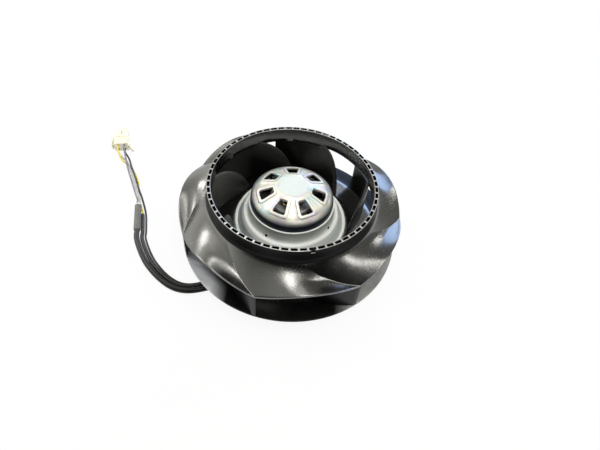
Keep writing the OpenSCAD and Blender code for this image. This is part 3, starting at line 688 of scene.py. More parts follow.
# %% Sizes of the wheel
BLADES, TIP_ANGLE, WRAP = 7, -101.7, 1.75
WHEEL_R, NECK_RI, NECK_RO, NECK_Z = 95.0, 67.6, 70.2, 63.2
ARCH_Z, ARCH_H, SHROUD_T, CREASE = 52.7, 8.5, 2.0, 0.016
RIM_RI, RIM_RO, RIM_TOP, RIM_BOTTOM = 67.1, 70.6, 75.2, 64.4
FILLET_UP, FILLET_OUT, NECK_DARK = 3.2, 0.14, 0.4
print("wheel", 2 * WHEEL_R, "mm across,", RIM_TOP, "mm high")

# %% Satin black plastic
SWIRL_ROUGH, SWELL = 0.09, 0.05


def reach_of(tree, axis, first, last):
    """A mask that rises from nought to one between two heights (Z), radii (XY) or widths (X), in
    millimetres. A small letter stands for a signed place on that axis."""
    if axis.islower():
        place = (add(tree, "SeparateXYZ", {0: place_in(tree)}), axis.upper())
    else:
        chosen = tuple(float(letter in axis) for letter in "XYZ")
        flat = add(tree, "VectorMath", {0: place_in(tree), 1: chosen}, operation="MULTIPLY")
        place = (add(tree, "VectorMath", {0: flat}, operation="LENGTH"), "Value")
    return ranged(tree, place, first * MM, last * MM)


def satin_black(name, pale_places=(), tone=grey(0.3), least=0.6, gloss=(0.17, 0.26), shine=0.9, left=None,
                skin=0.0025):
    """The wheel's plastic. Each pale place gives an axis and the two sizes between which a pale tone sets in.
    On the left side that tone may be another, brighter one, painted light."""
    tones = [grey(skin), (2.4 * skin, 2.3 * skin, 2.2 * skin)]
    material = finish(name, tones, gloss, 42.0, 0.05, 1500.0, IOR=1.85, Specular_IOR_Level=shine)
    tree, shader = parts_of(material)
    swirls = node_of(tree, "GROUP", marks)
    even = node_of(tree, "MAP_RANGE")
    feed(tree, shader, "Roughness", calc(tree, "MULTIPLY_ADD", swirls, SWIRL_ROUGH, even))
    wavy = add(tree, "TexNoise", {
        "Vector": place_in(tree), "Scale": 210.0, "Detail": 3.0, "Roughness": 0.6, "Distortion": 0.8})
    swell = add(tree, "Bump", {"Height": wavy, "Strength": 1.0, "Distance": SWELL * MM})
    feed(tree, node_of(tree, "BUMP"), "Normal", swell)
    if pale_places:
        mask = ranged(tree, node_of(tree, "GROUP", mottle), 0.0, 1.0, least, 1.0)
        for axis, first, last in pale_places:
            mask = calc(tree, "MULTIPLY", mask, reach_of(tree, axis, first, last))
        pale = tone_along(tree, "X", -50.0, 0.0, left, tone) if left else tone
        feed(tree, shader, "Base Color", mixed(tree, mask, node_of(tree, "VALTORGB"), pale))
    return material


wheel_black = satin_black("wheel_plastic")
# The blades' plastic is a darker, less shiny copy, painted shade, and it is painted paler towards the inlet
# and on the left, as sheen.
blade_black = satin_black("blade_plastic", gloss=(0.30, 0.40), shine=0.1, skin=0.0015)
paint_light(blade_black, "Z", 42.0, 62.0, UNLIT, (0.024, 0.024, 0.022))
paint_light(blade_black, "X", -64.0, -42.0, (0.05, 0.05, 0.046), UNLIT)
# A darker, less shiny copy of the plastic for the neck and the rim's outer wall: painted shade.
shaded_neck_black = satin_black("neck_plastic_painted_shade", gloss=(0.36, 0.46), shine=0.08, skin=0.0015)
# The top of the rim is painted pale.
rim_black = satin_black("rim_plastic", [("Z", RIM_TOP - 0.25, RIM_TOP)], (0.45, 0.45, 0.435))
# The flat ring is worn pale at the front, and on the left the pale is painted brighter and bluer, as light.
plate_wear_and_light = [("XY", 81.0, 88.0), ("X", 44.0, 58.0), ("y", 12.0, -20.0)]
plate_black = satin_black("plate_plastic", plate_wear_and_light, (0.46, 0.46, 0.45), 0.5, (0.30, 0.40), 0.08,
                          left=(0.95, 0.97, 1.0))
# A pale tone painted along the creases as their highlight.
crease_highlight = finish("crease_highlight", [(0.22, 0.215, 0.20), (0.42, 0.41, 0.385)], (0.3, 0.4), 300.0)
print("wheel plastic with", len(wheel_black.node_tree.nodes), "nodes")

# %% [markdown]
# ## The shroud
# The shroud is the wheel's upper wall. It flares from the inlet to the outlet, and its edge dips at
# each blade tip and arches in between, so a crease follows each blade's spiral. It could be sculpted,
# but its height is a rule of two shares: how far out a point lies, and where it lies between two
# blades. One panel is computed from that rule, with its points crowded along the crease, and then
# copied seven times. At the neck a small fillet leads up into the wall of the rim. Its upper faces
# take the neck's darker copy, painted shade, and the crease takes a pale tone painted as its
# highlight, face by face.

# %% Shape of the shroud
ROWS, COLUMNS, FILLET_STEPS, EDGE_SHARE = 26, 40, 10, 0.985
FLARE, DIP, CROWD = 2.2, 0.8, 0.9


def lagging(r):
    """Angle by which the spiral through a blade tip lags at a radius, in degrees."""
    return -math.degrees(WRAP) * math.log(WHEEL_R / r)


def polar(r, angle, z):
    a = math.radians(angle)
    return (r * math.cos(a), r * math.sin(a), z)


def arch(s):
    wave = math.hypot(math.sin(math.pi * s), CREASE) - CREASE
    return wave / (math.hypot(1.0, CREASE) - CREASE)


def shroud_z(u, s):
    return ARCH_Z + (NECK_Z - ARCH_Z) * (1 - u) ** FLARE - ARCH_H * u ** DIP * (1 - arch(s))


def outer_r(u):
    return NECK_RO + (WHEEL_R - NECK_RO) * u


def outer_share(r):
    return (r - NECK_RO) / (WHEEL_R - NECK_RO)


def inner_r(u):
    return NECK_RI + (WHEEL_R - NECK_RI) * u


def shroud_line(s):
    """Radius and height round one section of the shroud: down the outside, round the edge and back."""
    corner = Vector((RIM_RO + 0.02, shroud_z(outer_share(RIM_RO), s)))
    first = corner + Vector((0.0, FILLET_UP))
    last = Vector((outer_r(FILLET_OUT), shroud_z(FILLET_OUT, s)))
    outside = [FILLET_OUT + (EDGE_SHARE - FILLET_OUT) * k / ROWS for k in range(ROWS + 1)]
    inside = [EDGE_SHARE * (1 - k / ROWS) for k in range(ROWS + 1)]
    line = [(RIM_RO - 0.1, first.y)] + [tuple(p) for p in bend(first, corner, last, FILLET_STEPS)[:-1]]
    line += [(outer_r(u), shroud_z(u, s)) for u in outside]
    edge = shroud_z(1.0, s)
    line += [(WHEEL_R - d, edge - z) for d, z in ((0.12, 0.1), (0.0, 0.4), (0.0, 1.6), (0.12, 1.9))]
    line += [(inner_r(u), shroud_z(u, s) - SHROUD_T) for u in inside]
    return line + [(NECK_RI, RIM_BOTTOM + 0.4)]


rings = []
for j in range(COLUMNS + 1):
    t = j / COLUMNS
    s = t - CROWD * math.sin(math.tau * t) / math.tau
    rings.append([polar(r, TIP_ANGLE + s * 360 / BLADES + lagging(r), z) for r, z in shroud_line(s)])
shroud = repeat(solid("shroud", *loft(rings)), BLADES, 0.0, wheel_black, sharp=50.0)
dress(shroud, wheel_black, "rotor", "wheel_plastic", "impeller_shroud")
print("shroud of", len(shroud.data.polygons), "faces")

# %% Painted crease highlights and the neck's painted shade
CREASE_GLINT_HALF, CREASE_GLINT_FROM, UPWARD = 0.0055, 0.4, 0.2


def paint_faces(piece, choose, *others):
    """Gives some faces another material. `choose` gets a face, its radius and its height in millimetres,
    and returns the number of the other material, or nought."""
    for material in others:
        piece.data.materials.append(material)
    for face in piece.data.polygons:
        face.material_index = int(choose(face, face.center.to_2d().length / MM, face.center.z / MM))


def angle_of(face):
    return math.degrees(math.atan2(face.center.y, face.center.x))


# Fillet faces high above the shroud take the neck's darker copy, painted shade; thin upward faces along the
# crease take the painted highlight.
def shroud_finish(face, r, z):
    share = (angle_of(face) - TIP_ANGLE - lagging(r)) * BLADES / 360 % 1.0
    if RIM_RO < r < outer_r(FILLET_OUT):
        return 2 if z - shroud_z(outer_share(r), share) > NECK_DARK else 0
    return min(share, 1 - share) < CREASE_GLINT_HALF and r > outer_r(CREASE_GLINT_FROM) and face.normal.z > UPWARD


paint_faces(shroud, shroud_finish, crease_highlight, shaded_neck_black)
print("shroud finishes:", [m.name for m in shroud.data.materials])

# %% [markdown]
# ## The inlet rim
# The rim stands on the shroud's neck. Its top holds sixty-three small pockets for balancing weights,
# with thin webs between them, and one pocket is filled. Cutting them with a Boolean would leave long
# thin faces, so one cell is built whole, with its walls, its floor and half a web on either side, and
# the tree does the rest. The pockets are painted dead black inside, as shade, and the outer wall takes
# the neck's darker copy, painted shade.

# %% Inlet rim with its pockets
POCKETS, POCKET_PHASE, POCKET_OPEN, POCKET_DEPTH, FILLED = 63, -89.9, 0.77, 3.0, 28
half_cell = 180 / POCKETS
half_open = half_cell * POCKET_OPEN
stations = [-half_cell, -half_open, -half_open / 2, 0.0, half_open / 2, half_open, half_cell]
lip_out, lip_in, pocket_floor = RIM_RO - 0.5, RIM_RI + 0.65, RIM_TOP - POCKET_DEPTH
outside = [
    (70.2, 61.6), (70.45, 61.65), (70.6, 61.9), (70.6, 70.0), (70.6, 75.0), (70.55, 75.15), (70.42, 75.2)]
inside = [
    (67.6, 75.2), (67.25, 75.0), (67.1, 74.4), (67.1, 70.0), (67.1, 64.7), (67.25, 64.45), (67.6, 64.4)]
pocket = [(lip_out, RIM_TOP), (lip_out, pocket_floor), (lip_in, pocket_floor), (lip_in, RIM_TOP)]
section = outside + pocket + inside
m, lip, webs = len(section), len(outside), (0, len(stations) - 2)
points, faces = loft([[polar(r, angle, z) for r, z in section] for angle in stations])
faces = [face for i, face in enumerate(faces) if i // m not in webs or not lip <= i % m < lip + 3]
faces += [(j * m + lip, j * m + lip + 3, (j + 1) * m + lip + 3, (j + 1) * m + lip) for j in webs]
faces += [tuple(j * m + lip + k for k in range(4)) for j in (1, len(stations) - 2)]
rim = repeat(raw("rim", points, faces), POCKETS, POCKET_PHASE, rim_black, sharp=30.0)
filled = POCKET_PHASE + FILLED * 360 / POCKETS
corners = ((lip_in, -half_open), (lip_out, -half_open), (lip_out, half_open), (lip_in, half_open))
weight = [[polar(r, filled + a, z) for r, a in corners] for z in (pocket_floor + 0.01, RIM_TOP - 0.25)]
absorb(rim, solid("pocket_fill", *loft(weight, caps=True)))
dress(rim, rim_black, "rotor", "wheel_plastic", "inlet_rim")
# The pockets' walls and floors are painted dead black, as shade.
pocket_shade = finish("pocket_shade", [grey(0.002), grey(0.004)], (0.7, 0.8), Specular_IOR_Level=0.1)


# The outer wall takes the neck's darker copy and the pockets the black one: both are painted shade.
def rim_finish(face, r, z):
    if r > RIM_RO - 0.1 and abs(face.normal.z) < 0.1:
        return 2
    return lip_in - 0.05 < r < lip_out + 0.05 and pocket_floor - 0.1 < z < RIM_TOP - 0.3


paint_faces(rim, rim_finish, pocket_shade, shaded_neck_black)
print("rim of", len(rim.data.polygons), "faces")

# %% [markdown]
# ## The back plate and the blades
# The back plate is a turned form: a flat outer ring, a cone that rises to the hub, and a flat seat for
# the steel carrier. A Screw modifier would turn it too, but the corners need different radii, so the
# outline is softened corner by corner and then turned. Only the flat ring has the worn finish, and on
# the left its pale wear is painted brighter, as light.

# %% Back plate
def turned(name, outline, steps):
    """A closed outline of radius and height turned round the axis."""
    rings = [[(p.x * math.cos(t), p.x * math.sin(t), p.y) for p in outline] for t in turns(steps)]
    return solid(name, *loft(rings, loop=True))


CONE_R = 78.0
plate_top = [(49.4, 30.6), (52.0, 30.2), (60.0, 26.0), (79.0, 16.0), (95.0, 16.0)]
plate_line = [(45.8, 29.2), (49.4, 29.2)] + plate_top + [
    (95.0, 14.0), (78.0, 14.0), (59.5, 23.7), (50.8, 27.2), (45.8, 27.2)]
plate_radii = [0.1, 0.1, 0.3, 2.0, 3.0, 6.0, 0.5, 0.5, 5.0, 3.0, 2.0, 0.2]
plate = turned("back_plate", soften(plate_line, plate_radii, 4), 240)
dress(plate, plate_black, "rotor", "wheel_plastic", "impeller_back_plate")
paint_faces(plate, lambda face, r, z: r < CONE_R, wheel_black)
print("back plate of", len(plate.data.polygons), "faces")

# %% [markdown]
# A blade is a wall along the spiral. It stands on the plate and runs up into the shroud, and inside
# the inlet its top edge falls in a curve to the hub. Each station along the spiral gets one section
# with a round top, and the sections are joined.

# %% Blades
LE_FOOT, LE_TOP, BLADE_T, STATIONS, ROOT = 51.4, 63.7, 2.4, 28, 0.4
TAPER, FALL = 0.4, 0.6
slant = math.hypot(1, WRAP)


def plate_height(r):
    for (r0, z0), (r1, z1) in zip(plate_top, plate_top[1:]):
        if r <= r1:
            return z0 + (z1 - z0) * (r - r0) / (r1 - r0)
    return plate_top[-1][1]


def blade_half(r):
    return BLADE_T * (1 - TAPER * ((r - LE_FOOT) / (WHEEL_R - LE_FOOT)) ** 2) / 2


def blade_top(r):
    if r > NECK_RI:
        half_share = blade_half(r) * slant / r / (math.tau / BLADES)
        return shroud_z((r - NECK_RI) / (WHEEL_R - NECK_RI), half_share) - SHROUD_T + ROOT
    x = (NECK_RI - r) / (NECK_RI - LE_FOOT)
    foot = plate_height(LE_FOOT)
    return foot + (LE_TOP - foot) * max(0.0, 1 - x * x) ** FALL


reach = [LE_FOOT + (NECK_RI - LE_FOOT) * (k / STATIONS) ** 2 for k in range(STATIONS + 1)]
reach += [NECK_RI + (WHEEL_R - 0.05 - NECK_RI) * k / STATIONS for k in range(1, STATIONS + 1)]
rings = []
for r in reach:
    foot, top, half = plate_height(r) - ROOT, blade_top(r), blade_half(r)
    bead = min(half, (top - foot) / 2)
    neck = top - bead - 0.2 * (top - bead - foot)
    crest = [(-half * math.cos(t), top - bead + bead * math.sin(t)) for t in turns(16)[:9]]
    across = [(-half, foot), (-half, neck)] + crest + [(half, neck), (half, foot)]
    rings.append([polar(r, TIP_ANGLE + lagging(r) + math.degrees(side * slant / r), z) for side, z in across])
blades = repeat(solid("blades", *loft(rings, caps=True)), BLADES, 0.0, blade_black, sharp=50.0)
dress(blades, blade_black, "rotor", "wheel_plastic", "impeller_blades")
print(BLADES, "blades of", len(blades.data.polygons), "faces")

# %% [markdown]
# ## Zinc-plated steel
# The bell and its carrier are pressed steel, plated with zinc and passivated. The film shifts between
# silver, pale yellow, rose and blue in soft clouds, and drawing the cup has left fine vertical lines
# in its skin. The clouds are the mottle group with several tones; the drawing lines are the marks
# group, stretched along the axis. The bell's wall is painted dark below its shoulder, as shade, the
# carrier's skirt is painted darker upwards, as the bell's shadow, and its flange is a darker copy,
# painted shade, with paler paint on the right, as light.

# %% Plated steel
def paint_shade(material, first, last, tone, gloss):
    """Lets a finish turn darker and glossier from one height to another: painted shade."""
    tree, shader = parts_of(material)
    low = reach_of(tree, "Z", first, last)
    feed(tree, shader, "Base Color", mixed(tree, low, node_of(tree, "VALTORGB"), tone, "MULTIPLY"))
    smoother = ranged(tree, low, 0.0, 1.0, 1.0, gloss)
    feed(tree, shader, "Roughness", calc(tree, "MULTIPLY", smoother, node_of(tree, "MAP_RANGE")))


def plated(name, tones, gloss=(0.34, 0.46), scale=70.0, **plain):
    """Plated steel with drawing lines along the axis."""
    return finish(name, tones, gloss, scale, 0.14, 900.0, (1.0, 1.0, 0.15), **plain)


clouds = [(0.36, 0.62, 0.69), (0.68, 0.76, 0.74), (0.80, 0.79, 0.65), (0.74, 0.65, 0.69), (0.51, 0.66, 0.79)]
zinc = plated("plated_steel", clouds, (0.37, 0.47), 105.0, Metallic=0.5)
# The bell's wall below its shoulder is painted dark, as shade.
paint_shade(zinc, 64.8, 58.8, (0.03, 0.04, 0.06), 0.8)
# A darker copy of the plating for the steep walls of the vents' frames: painted shade.
wall_shade_tones = [(0.26, 0.28, 0.28), (0.36, 0.36, 0.34)]
frame_wall_shade = finish("plated_wall_shade", wall_shade_tones, (0.45, 0.55), 75.0, 0.14, Metallic=0.4)
cup_tones = [(0.84, 0.90, 0.91), (0.90, 0.93, 0.91), (0.93, 0.95, 0.90), (0.87, 0.92, 0.93)]
# Two copies of the carrier's plating: the first is painted darker upwards as the bell's shadow, and the
# bright one, for the upper edge and the fold, has no painted shadow.
shaded_zinc = plated("plated_steel_painted_shadow", cup_tones)
bright_zinc = plated("bright_plated_steel", cup_tones)
paint_shade(shaded_zinc, 43.0, 52.0, (0.42, 0.44, 0.38), 1.0)
# The flange is a darker copy of the plating, painted shade, and is painted paler on the right, as light.
shaded_flange_zinc = plated("flange_plated_steel_painted_light_and_shade", [(0.34, 0.39, 0.40), (0.46, 0.50, 0.50)])
paint_light(shaded_flange_zinc, "X", -44.0, -6.0, UNLIT, (0.42, 0.42, 0.40))
# Black spring steel for the clip, also painted into the drain holes as shade.
black_steel_and_hole_shade = finish("spring_steel_and_hole_shade", [grey(0.004), grey(0.010)], (0.4, 0.5), 200.0, 0.1,
                     Specular_IOR_Level=0.06)
print("plating with", len(zinc.node_tree.nodes), "nodes")

# %% [markdown]
# ## The carrier
# The carrier is the pressed steel dish between bell and wheel. Its skirt grips the bell, a step leads
# down into the dish, and the dish ends in a rolled lip on the wheel's hub. It is turned from one
# softened outline, and four small drain holes are cut through the skirt. Its upper edge and the fold
# at the step keep the plating without painted shadow, the skirt carries the bell's painted shadow,
# the flange a darker copy painted as shade and light, and the holes are painted black, as shade.

# %% Carrier
HOLES, HOLE_TURN, HOLE_Z, HOLE_R = 4, -118.0, 43.5, 1.25
BRIGHT_Z, FOLD_IN, FOLD_OUT, FOLD_Z, FLANGE_OUT = 52.9, 37.9, 42.9, 37.0, 46.6
carrier_line = [
    (35.35, 53.5), (36.45, 53.5), (36.75, 53.1), (36.85, 50.5), (37.55, 43.5), (38.35, 41.9), (40.75, 41.5),
    (41.55, 40.7), (42.9, 37.94), (46.4, 30.8), (46.9, 30.4), (47.4, 31.1), (48.2, 31.5), (49.0, 31.1),
    (49.3, 30.2), (49.3, 29.2), (46.1, 29.2), (45.3, 30.2), (40.55, 40.3), (40.15, 39.9), (37.35, 40.3),
    (35.35, 41.9)]
carrier = turned("carrier", soften(carrier_line, 0.7), 180)
drills = []
for k in range(HOLES):
    path = [Vector(polar(r, HOLE_TURN + 360 / HOLES * k, HOLE_Z)) for r in (35.0, 39.5)]
    drills.append(swept("drain_" + str(k), path, [HOLE_R, HOLE_R], 20))
cut(carrier, absorb(*drills))
shade(carrier.data)
dress(carrier, shaded_zinc, "rotor", "plated_steel", "impeller_carrier")


# Hole faces take the black, painted shade; the upper edge and the fold take the plating without painted
# shadow; the flange takes its darker copy, painted shade and light.
def carrier_finish(face, r, z):
    apart = 360 / HOLES
    off = math.radians((angle_of(face) - HOLE_TURN + apart / 2) % apart - apart / 2) * r
    if math.hypot(off, z - HOLE_Z) < HOLE_R + 0.01:
        return 1
    if z > BRIGHT_Z or (FOLD_IN < r < FOLD_OUT and z > FOLD_Z):
        return 2
    return 3 if FOLD_OUT <= r < FLANGE_OUT and face.normal.z > 0 else 0


paint_faces(carrier, carrier_finish, black_steel_and_hole_shade, bright_zinc, shaded_flange_zinc)
print("carrier of", len(carrier.data.polygons), "faces")

# %% [markdown]
# ## The bell
# The motor's outer rotor is a drawn steel bell. Seven vents in its dome let air into the windings,
# and each has a broad embossed frame whose steep walls are painted darker, as shade. A Boolean would
# cut the vents but not the soft frames, so one seventh of the bell is built as a sheet: rings of
# points run from the sector's border in to the vent's edge, each with its own height, and go down
# through the sheet to the inside. The tree then copies it.

# %% Profile of the dome
VENTS, VENT_PHASE, DOME_IN, DOME_OUT, SHEET = 7, -58.6, 14.4, 31.2, 1.4
DOME_BEND = 1.6, 0.48, 6
dome = [Vector(p) for p in (
    (0.0, 70.8), (13.4, 70.8), (16.0, 69.6), (28.35, 64.2), (32.75, 61.6), (34.35, 60.3), (35.15, 58.8),
    (35.35, 57.4))]
profile = [dome[0]]
for before, corner, after in zip(dome, dome[1:], dome[2:]):
    profile += rounded(before, corner, after, *DOME_BEND)
profile.append(dome[-1])


def dome_z(r):
    for p, q in zip(profile, profile[1:]):
        if r <= q.x:
            return p.y + (q.y - p.y) * (r - p.x) / max(q.x - p.x, 1e-6)
    return profile[-1].y


def dome_slope(r):
    return (dome_z(r + 0.05) - dome_z(r - 0.05)) / 0.1


print("dome profile of", len(profile), "points")

# %% One seventh of the bell
SIDE, RADIAL, CORNER_R, BOW = 24, 16, 1.1, 0.4
VENT_IN, VENT_OUT = (16.6, 3.19), (27.35, 5.5)
FRAME = [
    (2.95, 0.0), (2.85, 0.06), (2.5, 0.54), (2.35, 0.6), (0.9, 0.6), (0.5, 0.52), (0.2, 0.34), (0.0, 0.05)]
half_sector = 180 / VENTS


def border_loop(drop):
    """The sector's border, once round: inner arc, one side, outer arc, other side."""
    arc = [-half_sector + 2 * half_sector * k / SIDE for k in range(SIDE)]
    run = [DOME_IN + (DOME_OUT - DOME_IN) * k / RADIAL for k in range(RADIAL)]
    loop = [(DOME_IN, a) for a in arc] + [(r, half_sector) for r in run]
    loop += [(DOME_OUT, -a) for a in arc] + [(DOME_IN + DOME_OUT - r, -half_sector) for r in run]
    return [polar(r, a, dome_z(r) - drop) for r, a in loop]


def vent_loop(grow, lift):
    """The vent's rounded outline, grown outwards, with the vent's middle line along x."""
    (x0, h0), (x1, h1) = VENT_IN, VENT_OUT
    lean = math.atan2(h1 - h0, x1 - x0)

    def half(x):
        return h0 + (h1 - h0) * (x - x0) / (x1 - x0) + grow / math.cos(lean)

    low, high, corner = x0 - 0.66 * grow, x1 + 0.85 * grow, CORNER_R + 0.5 * grow
    quad = [Vector(p) for p in ((low, -half(low)), (low, half(low)), (high, half(high)), (high, -half(high)))]
    loop = []
    for i, steps in enumerate((SIDE, RADIAL, SIDE, RADIAL)):
        for k in range(steps):
            point = quad[i].lerp(quad[(i + 1) % 4], k / steps)
            core = Vector((min(max(point.x, low + corner), high - corner), 0.0))
            limit = half(core.x) - corner / math.cos(lean)
            core.y = min(max(point.y, -limit), limit)
            off = point - core
            point = core + off.normalized() * min(off.length, corner)
            if i == 2:
                point.x += BOW * max(0.0, 1 - (point.y / half(high)) ** 2)
            loop.append((point.x, point.y, dome_z(point.length) + lift))
    return loop


loops = [border_loop(0.0)] + [vent_loop(grow, lift) for grow, lift in FRAME]
loops += [vent_loop(0.0, -SHEET), border_loop(SHEET)]
vents = repeat(raw("bell", *loft(loops)), VENTS, VENT_PHASE, zinc, sharp=40.0)
print("vent zone of", len(vents.data.polygons), "faces")

# %% [markdown]
# The rest of the bell is round: the flat crown inside the vents, and the shoulder and wall outside
# them, with the inner skin. They are turned with the same number of steps as the sectors' borders,
# from the same angle, so the seams meet point to point and weld.

# %% Crown, shoulder and wall of the bell
HUB_R, WALL_LEAN = 6.5, math.cos(math.radians(38.0))


def strip(name, outline):
    """An open outline turned round the axis from the first sector's border."""
    steps, start = VENTS * SIDE, VENT_PHASE - half_sector
    rings = [[polar(r, start + 360 * k / steps, z) for r, z in outline] for k in range(steps)]
    return raw(name, *loft(rings, around=False, loop=True))


crown = [(0.0, dome[0].y), (HUB_R, dome[0].y)]
crown += [(p.x, p.y) for p in profile if 0.2 < p.x < DOME_IN - 0.1] + [(DOME_IN, dome_z(DOME_IN))]
ceiling = [(r, z - SHEET) for r, z in reversed(crown)]
shoulder = [(DOME_OUT, dome_z(DOME_OUT))] + [(p.x, p.y) for p in profile if p.x > DOME_OUT + 0.1]
wall = [(35.35, 28.3), (35.1, 28.0), (34.2, 28.0), (33.95, 28.3), (33.95, 56.0), (33.75, 57.4), (32.95, 58.9)]
shoulder += wall + [(DOME_OUT, dome_z(DOME_OUT) - SHEET)]
bell = absorb(vents, strip("bell_skin", shoulder), strip("bell_crown", crown), strip("bell_ceiling", ceiling))
tidy(bell.data, sharp=40.0)
dress(bell, zinc, "rotor", "plated_steel", "rotor_bell")


# Steep walls of the vents' frames take the darker copy: painted shade.
def bell_finish(face, r, z):
    if not DOME_IN < r < DOME_OUT or z < dome_z(r) - 0.05:
        return 0
    out = Vector((-dome_slope(r), 1.0)).normalized()
    lean = face.normal.to_2d().dot(face.center.to_2d().normalized()) * out.x + face.normal.z * out.y
    return lean < WALL_LEAN


paint_faces(bell, bell_finish, frame_wall_shade)
print("bell of", len(bell.data.polygons), "faces")

# %% [markdown]
# ## The label's place, the balance clip and the coils
# The octagonal film on the bell's crown stays bare: it is a thin silvery disc with a soft edge. The
# clip is bent spring steel that hooks over the rim's wall, and a white patch painted at its foot
# stands for a highlight. The coils show through the vents. Each is a flat ring of wire, so its
# outline is swept round the tooth with a ripple for the turns of wire.

# %% Label film and balance clip
LABEL_R, LABEL_Z, CLIP_TURN, CLIP_HALF = 12.4, 70.8, -72.76, 1.6
CLIP_GLINT_TOP, CLIP_GLINT_IN = 73.4, 71.0
film = finish("label_film", [(0.64, 0.69, 0.67), (0.71, 0.76, 0.74)], (0.45, 0.55), 80.0, 0.05)
octagon = [Vector((math.cos(t), math.sin(t))) * LABEL_R for t in (math.tau * (k + 0.5) / 8 for k in range(8))]
octagon = soften(octagon, 1.0)
steps = [(1.0, 0.005), (1.0, 0.14), (0.99, 0.19), (0.975, 0.2), (0.5, 0.2)]
rings = [[(p.x * size, p.y * size, LABEL_Z + height) for p in octagon] for size, height in steps]
label = solid("bare_label", *loft(rings, caps=True), sharp=50.0)
dress(label, film, "rotor", "label_film", "label_disc")

clip_line = soften([
    (69.2, 73.0), (69.8, 73.0), (69.8, 75.2), (70.6, 75.2), (70.6, 72.6), (71.2, 72.6), (71.2, 73.5),
    (71.2, 75.8), (69.2, 75.8)], 0.35)
rings = [[polar(p.x, CLIP_TURN + math.degrees(side / p.x), p.y) for p in clip_line]
         for side in (-CLIP_HALF, CLIP_HALF)]
clip = solid("spring_clip", *loft(rings, caps=True), sharp=30.0)
dress(clip, black_steel_and_hole_shade, "rotor", "plated_steel", "balance_clip")
# A white patch painted at the clip's foot stands for a highlight.
paint_faces(clip, lambda face, r, z: z < CLIP_GLINT_TOP and r > CLIP_GLINT_IN, ring_white_and_glint)
print("label and clip made")

# %% Coils
COILS, TURNS, COIL_IN, COIL_LONG = 12, 9, 19.45, 7.1
# The windings are painted near black, as the shade inside the bell.
shaded_copper = finish("enamelled_copper", [(0.030, 0.026, 0.023), (0.07, 0.06, 0.052)], (0.35, 0.5), 200.0, 0.15)
middle = soften([(-3.55, 30.3), (3.55, 30.3), (3.55, 55.7), (-3.55, 55.7)], 2.0, 5)
ripple = []
for k in range(TURNS * 4 + 1):
    t = k / (TURNS * 4)
    height = 1.0 - 0.16 * math.cos(math.tau * TURNS * t) - 0.25 * (2 * t - 1) ** 6
    ripple.append((COIL_IN + COIL_LONG * t, height))
section = ripple + [(x, -h) for x, h in reversed(ripple)]
rings = []
for i, centre in enumerate(middle):
    along = (middle[(i + 1) % len(middle)] - middle[i - 1]).normalized()
    rings.append([(x, centre.x + along.y * h, centre.y - along.x * h) for x, h in section])
coils = repeat(solid("coils", *loft(rings, loop=True)), COILS, 0.0, shaded_copper, sharp=60.0)
dress(coils, shaded_copper, "stator", "enamelled_copper", "coil_windings")
print("coils of", len(coils.data.polygons), "faces")

# %% [markdown]
# ## Finishes for the pieces inside and below
# The remaining pieces keep their CAD shape: flange, bearings, core, board and the rest are plain
# machined or moulded forms. Each gets a finish on Object coordinates that fits its material, so that
# the part looks right from below and when its wheel is taken off.

# %% Finishes of the CAD pieces
wears = [
    ("stator_flange", finish(
        "cast_aluminium", [(0.50, 0.51, 0.52), (0.62, 0.62, 0.63)], (0.38, 0.55), 90.0, 0.35, 700.0,
        Metallic=1.0)),
    ("bearing_tube shaft shaft_circlip preload_washer", finish(
        "turned_steel", [(0.46, 0.46, 0.47), (0.58, 0.58, 0.59)], (0.22, 0.34), 90.0, 0.12, 900.0,
        (0.2, 0.2, 3.0), Metallic=1.0)),
    ("lower_outer_ring upper_outer_ring lower_inner_ring upper_inner_ring lower_ball_set upper_ball_set",
     finish("bearing_steel", [(0.56, 0.56, 0.57), (0.66, 0.66, 0.67)], (0.10, 0.18), 90.0, 0.04,
            Metallic=1.0)),
    ("stator_core", finish(
        "lamination_steel", [(0.20, 0.20, 0.21), (0.30, 0.30, 0.32)], (0.40, 0.55), 90.0, 0.6, 2600.0,
        (0.05, 0.05, 1.0), Metallic=0.9)),
    ("lower_insulator upper_insulator", finish(
        "insulator_plastic", [(0.44, 0.45, 0.44), (0.56, 0.57, 0.56)], (0.42, 0.55), 90.0, 0.1)),
    ("circuit_board", finish(
        "board_laminate", [(0.02, 0.10, 0.045), (0.035, 0.15, 0.07)], (0.28, 0.4), 160.0, 0.1)),
    ("capacitors", finish(
        "capacitor_sleeve", [(0.02, 0.03, 0.08), (0.035, 0.05, 0.12)], (0.25, 0.36), 160.0, 0.06)),
    ("choke magnet_ring", finish(
        "ferrite", [(0.045, 0.045, 0.048), (0.075, 0.075, 0.08)], (0.5, 0.65), 160.0, 0.3)),
    ("power_switches position_sensors", finish(
        "component_black", [(0.014, 0.014, 0.015), (0.026, 0.026, 0.027)], (0.42, 0.55), 160.0, 0.15)),
    ("board_screws", zinc),
    ("power_grommet control_grommet single_grommet", finish(
        "grommet_rubber", [grey(0.012), grey(0.024)], (0.6, 0.75), 120.0, 0.25)),
    ("rotor_bush", finish(
        "bush_brass", [(0.64, 0.48, 0.20), (0.74, 0.58, 0.28)], (0.2, 0.32), 120.0, 0.1, Metallic=1.0)),
]
for names, material in wears:
    for name in names.split():
        nodes[name].data.materials.clear()
        nodes[name].data.materials.append(material)
print(sum(len(names.split()) for names, material in wears), "CAD pieces finished")

# %% [markdown]
# ## Floor and light
# The photograph has a pure white ground and broad soft light from above. The floor is white where the
# camera or a mirror surface looks at it, and a plain pale matt floor for all other light, so that it
# still takes a faint shadow. The world is white for the camera too. In mirror surfaces it is a dim
# room, darker in front and brighter on the left, as the shroud shows it in the photograph.

# %% World and floor
FLOOR_HALF, FLOOR_Z = 4000.0, -0.3
WHITE = (1.0, 1.0, 1.0, 1.0)
scene = bpy.context.scene
scene.view_settings.view_transform = "Standard"


def fresh_tree(owner):
    owner.use_nodes = True
    owner.node_tree.nodes.clear()
    return owner.node_tree


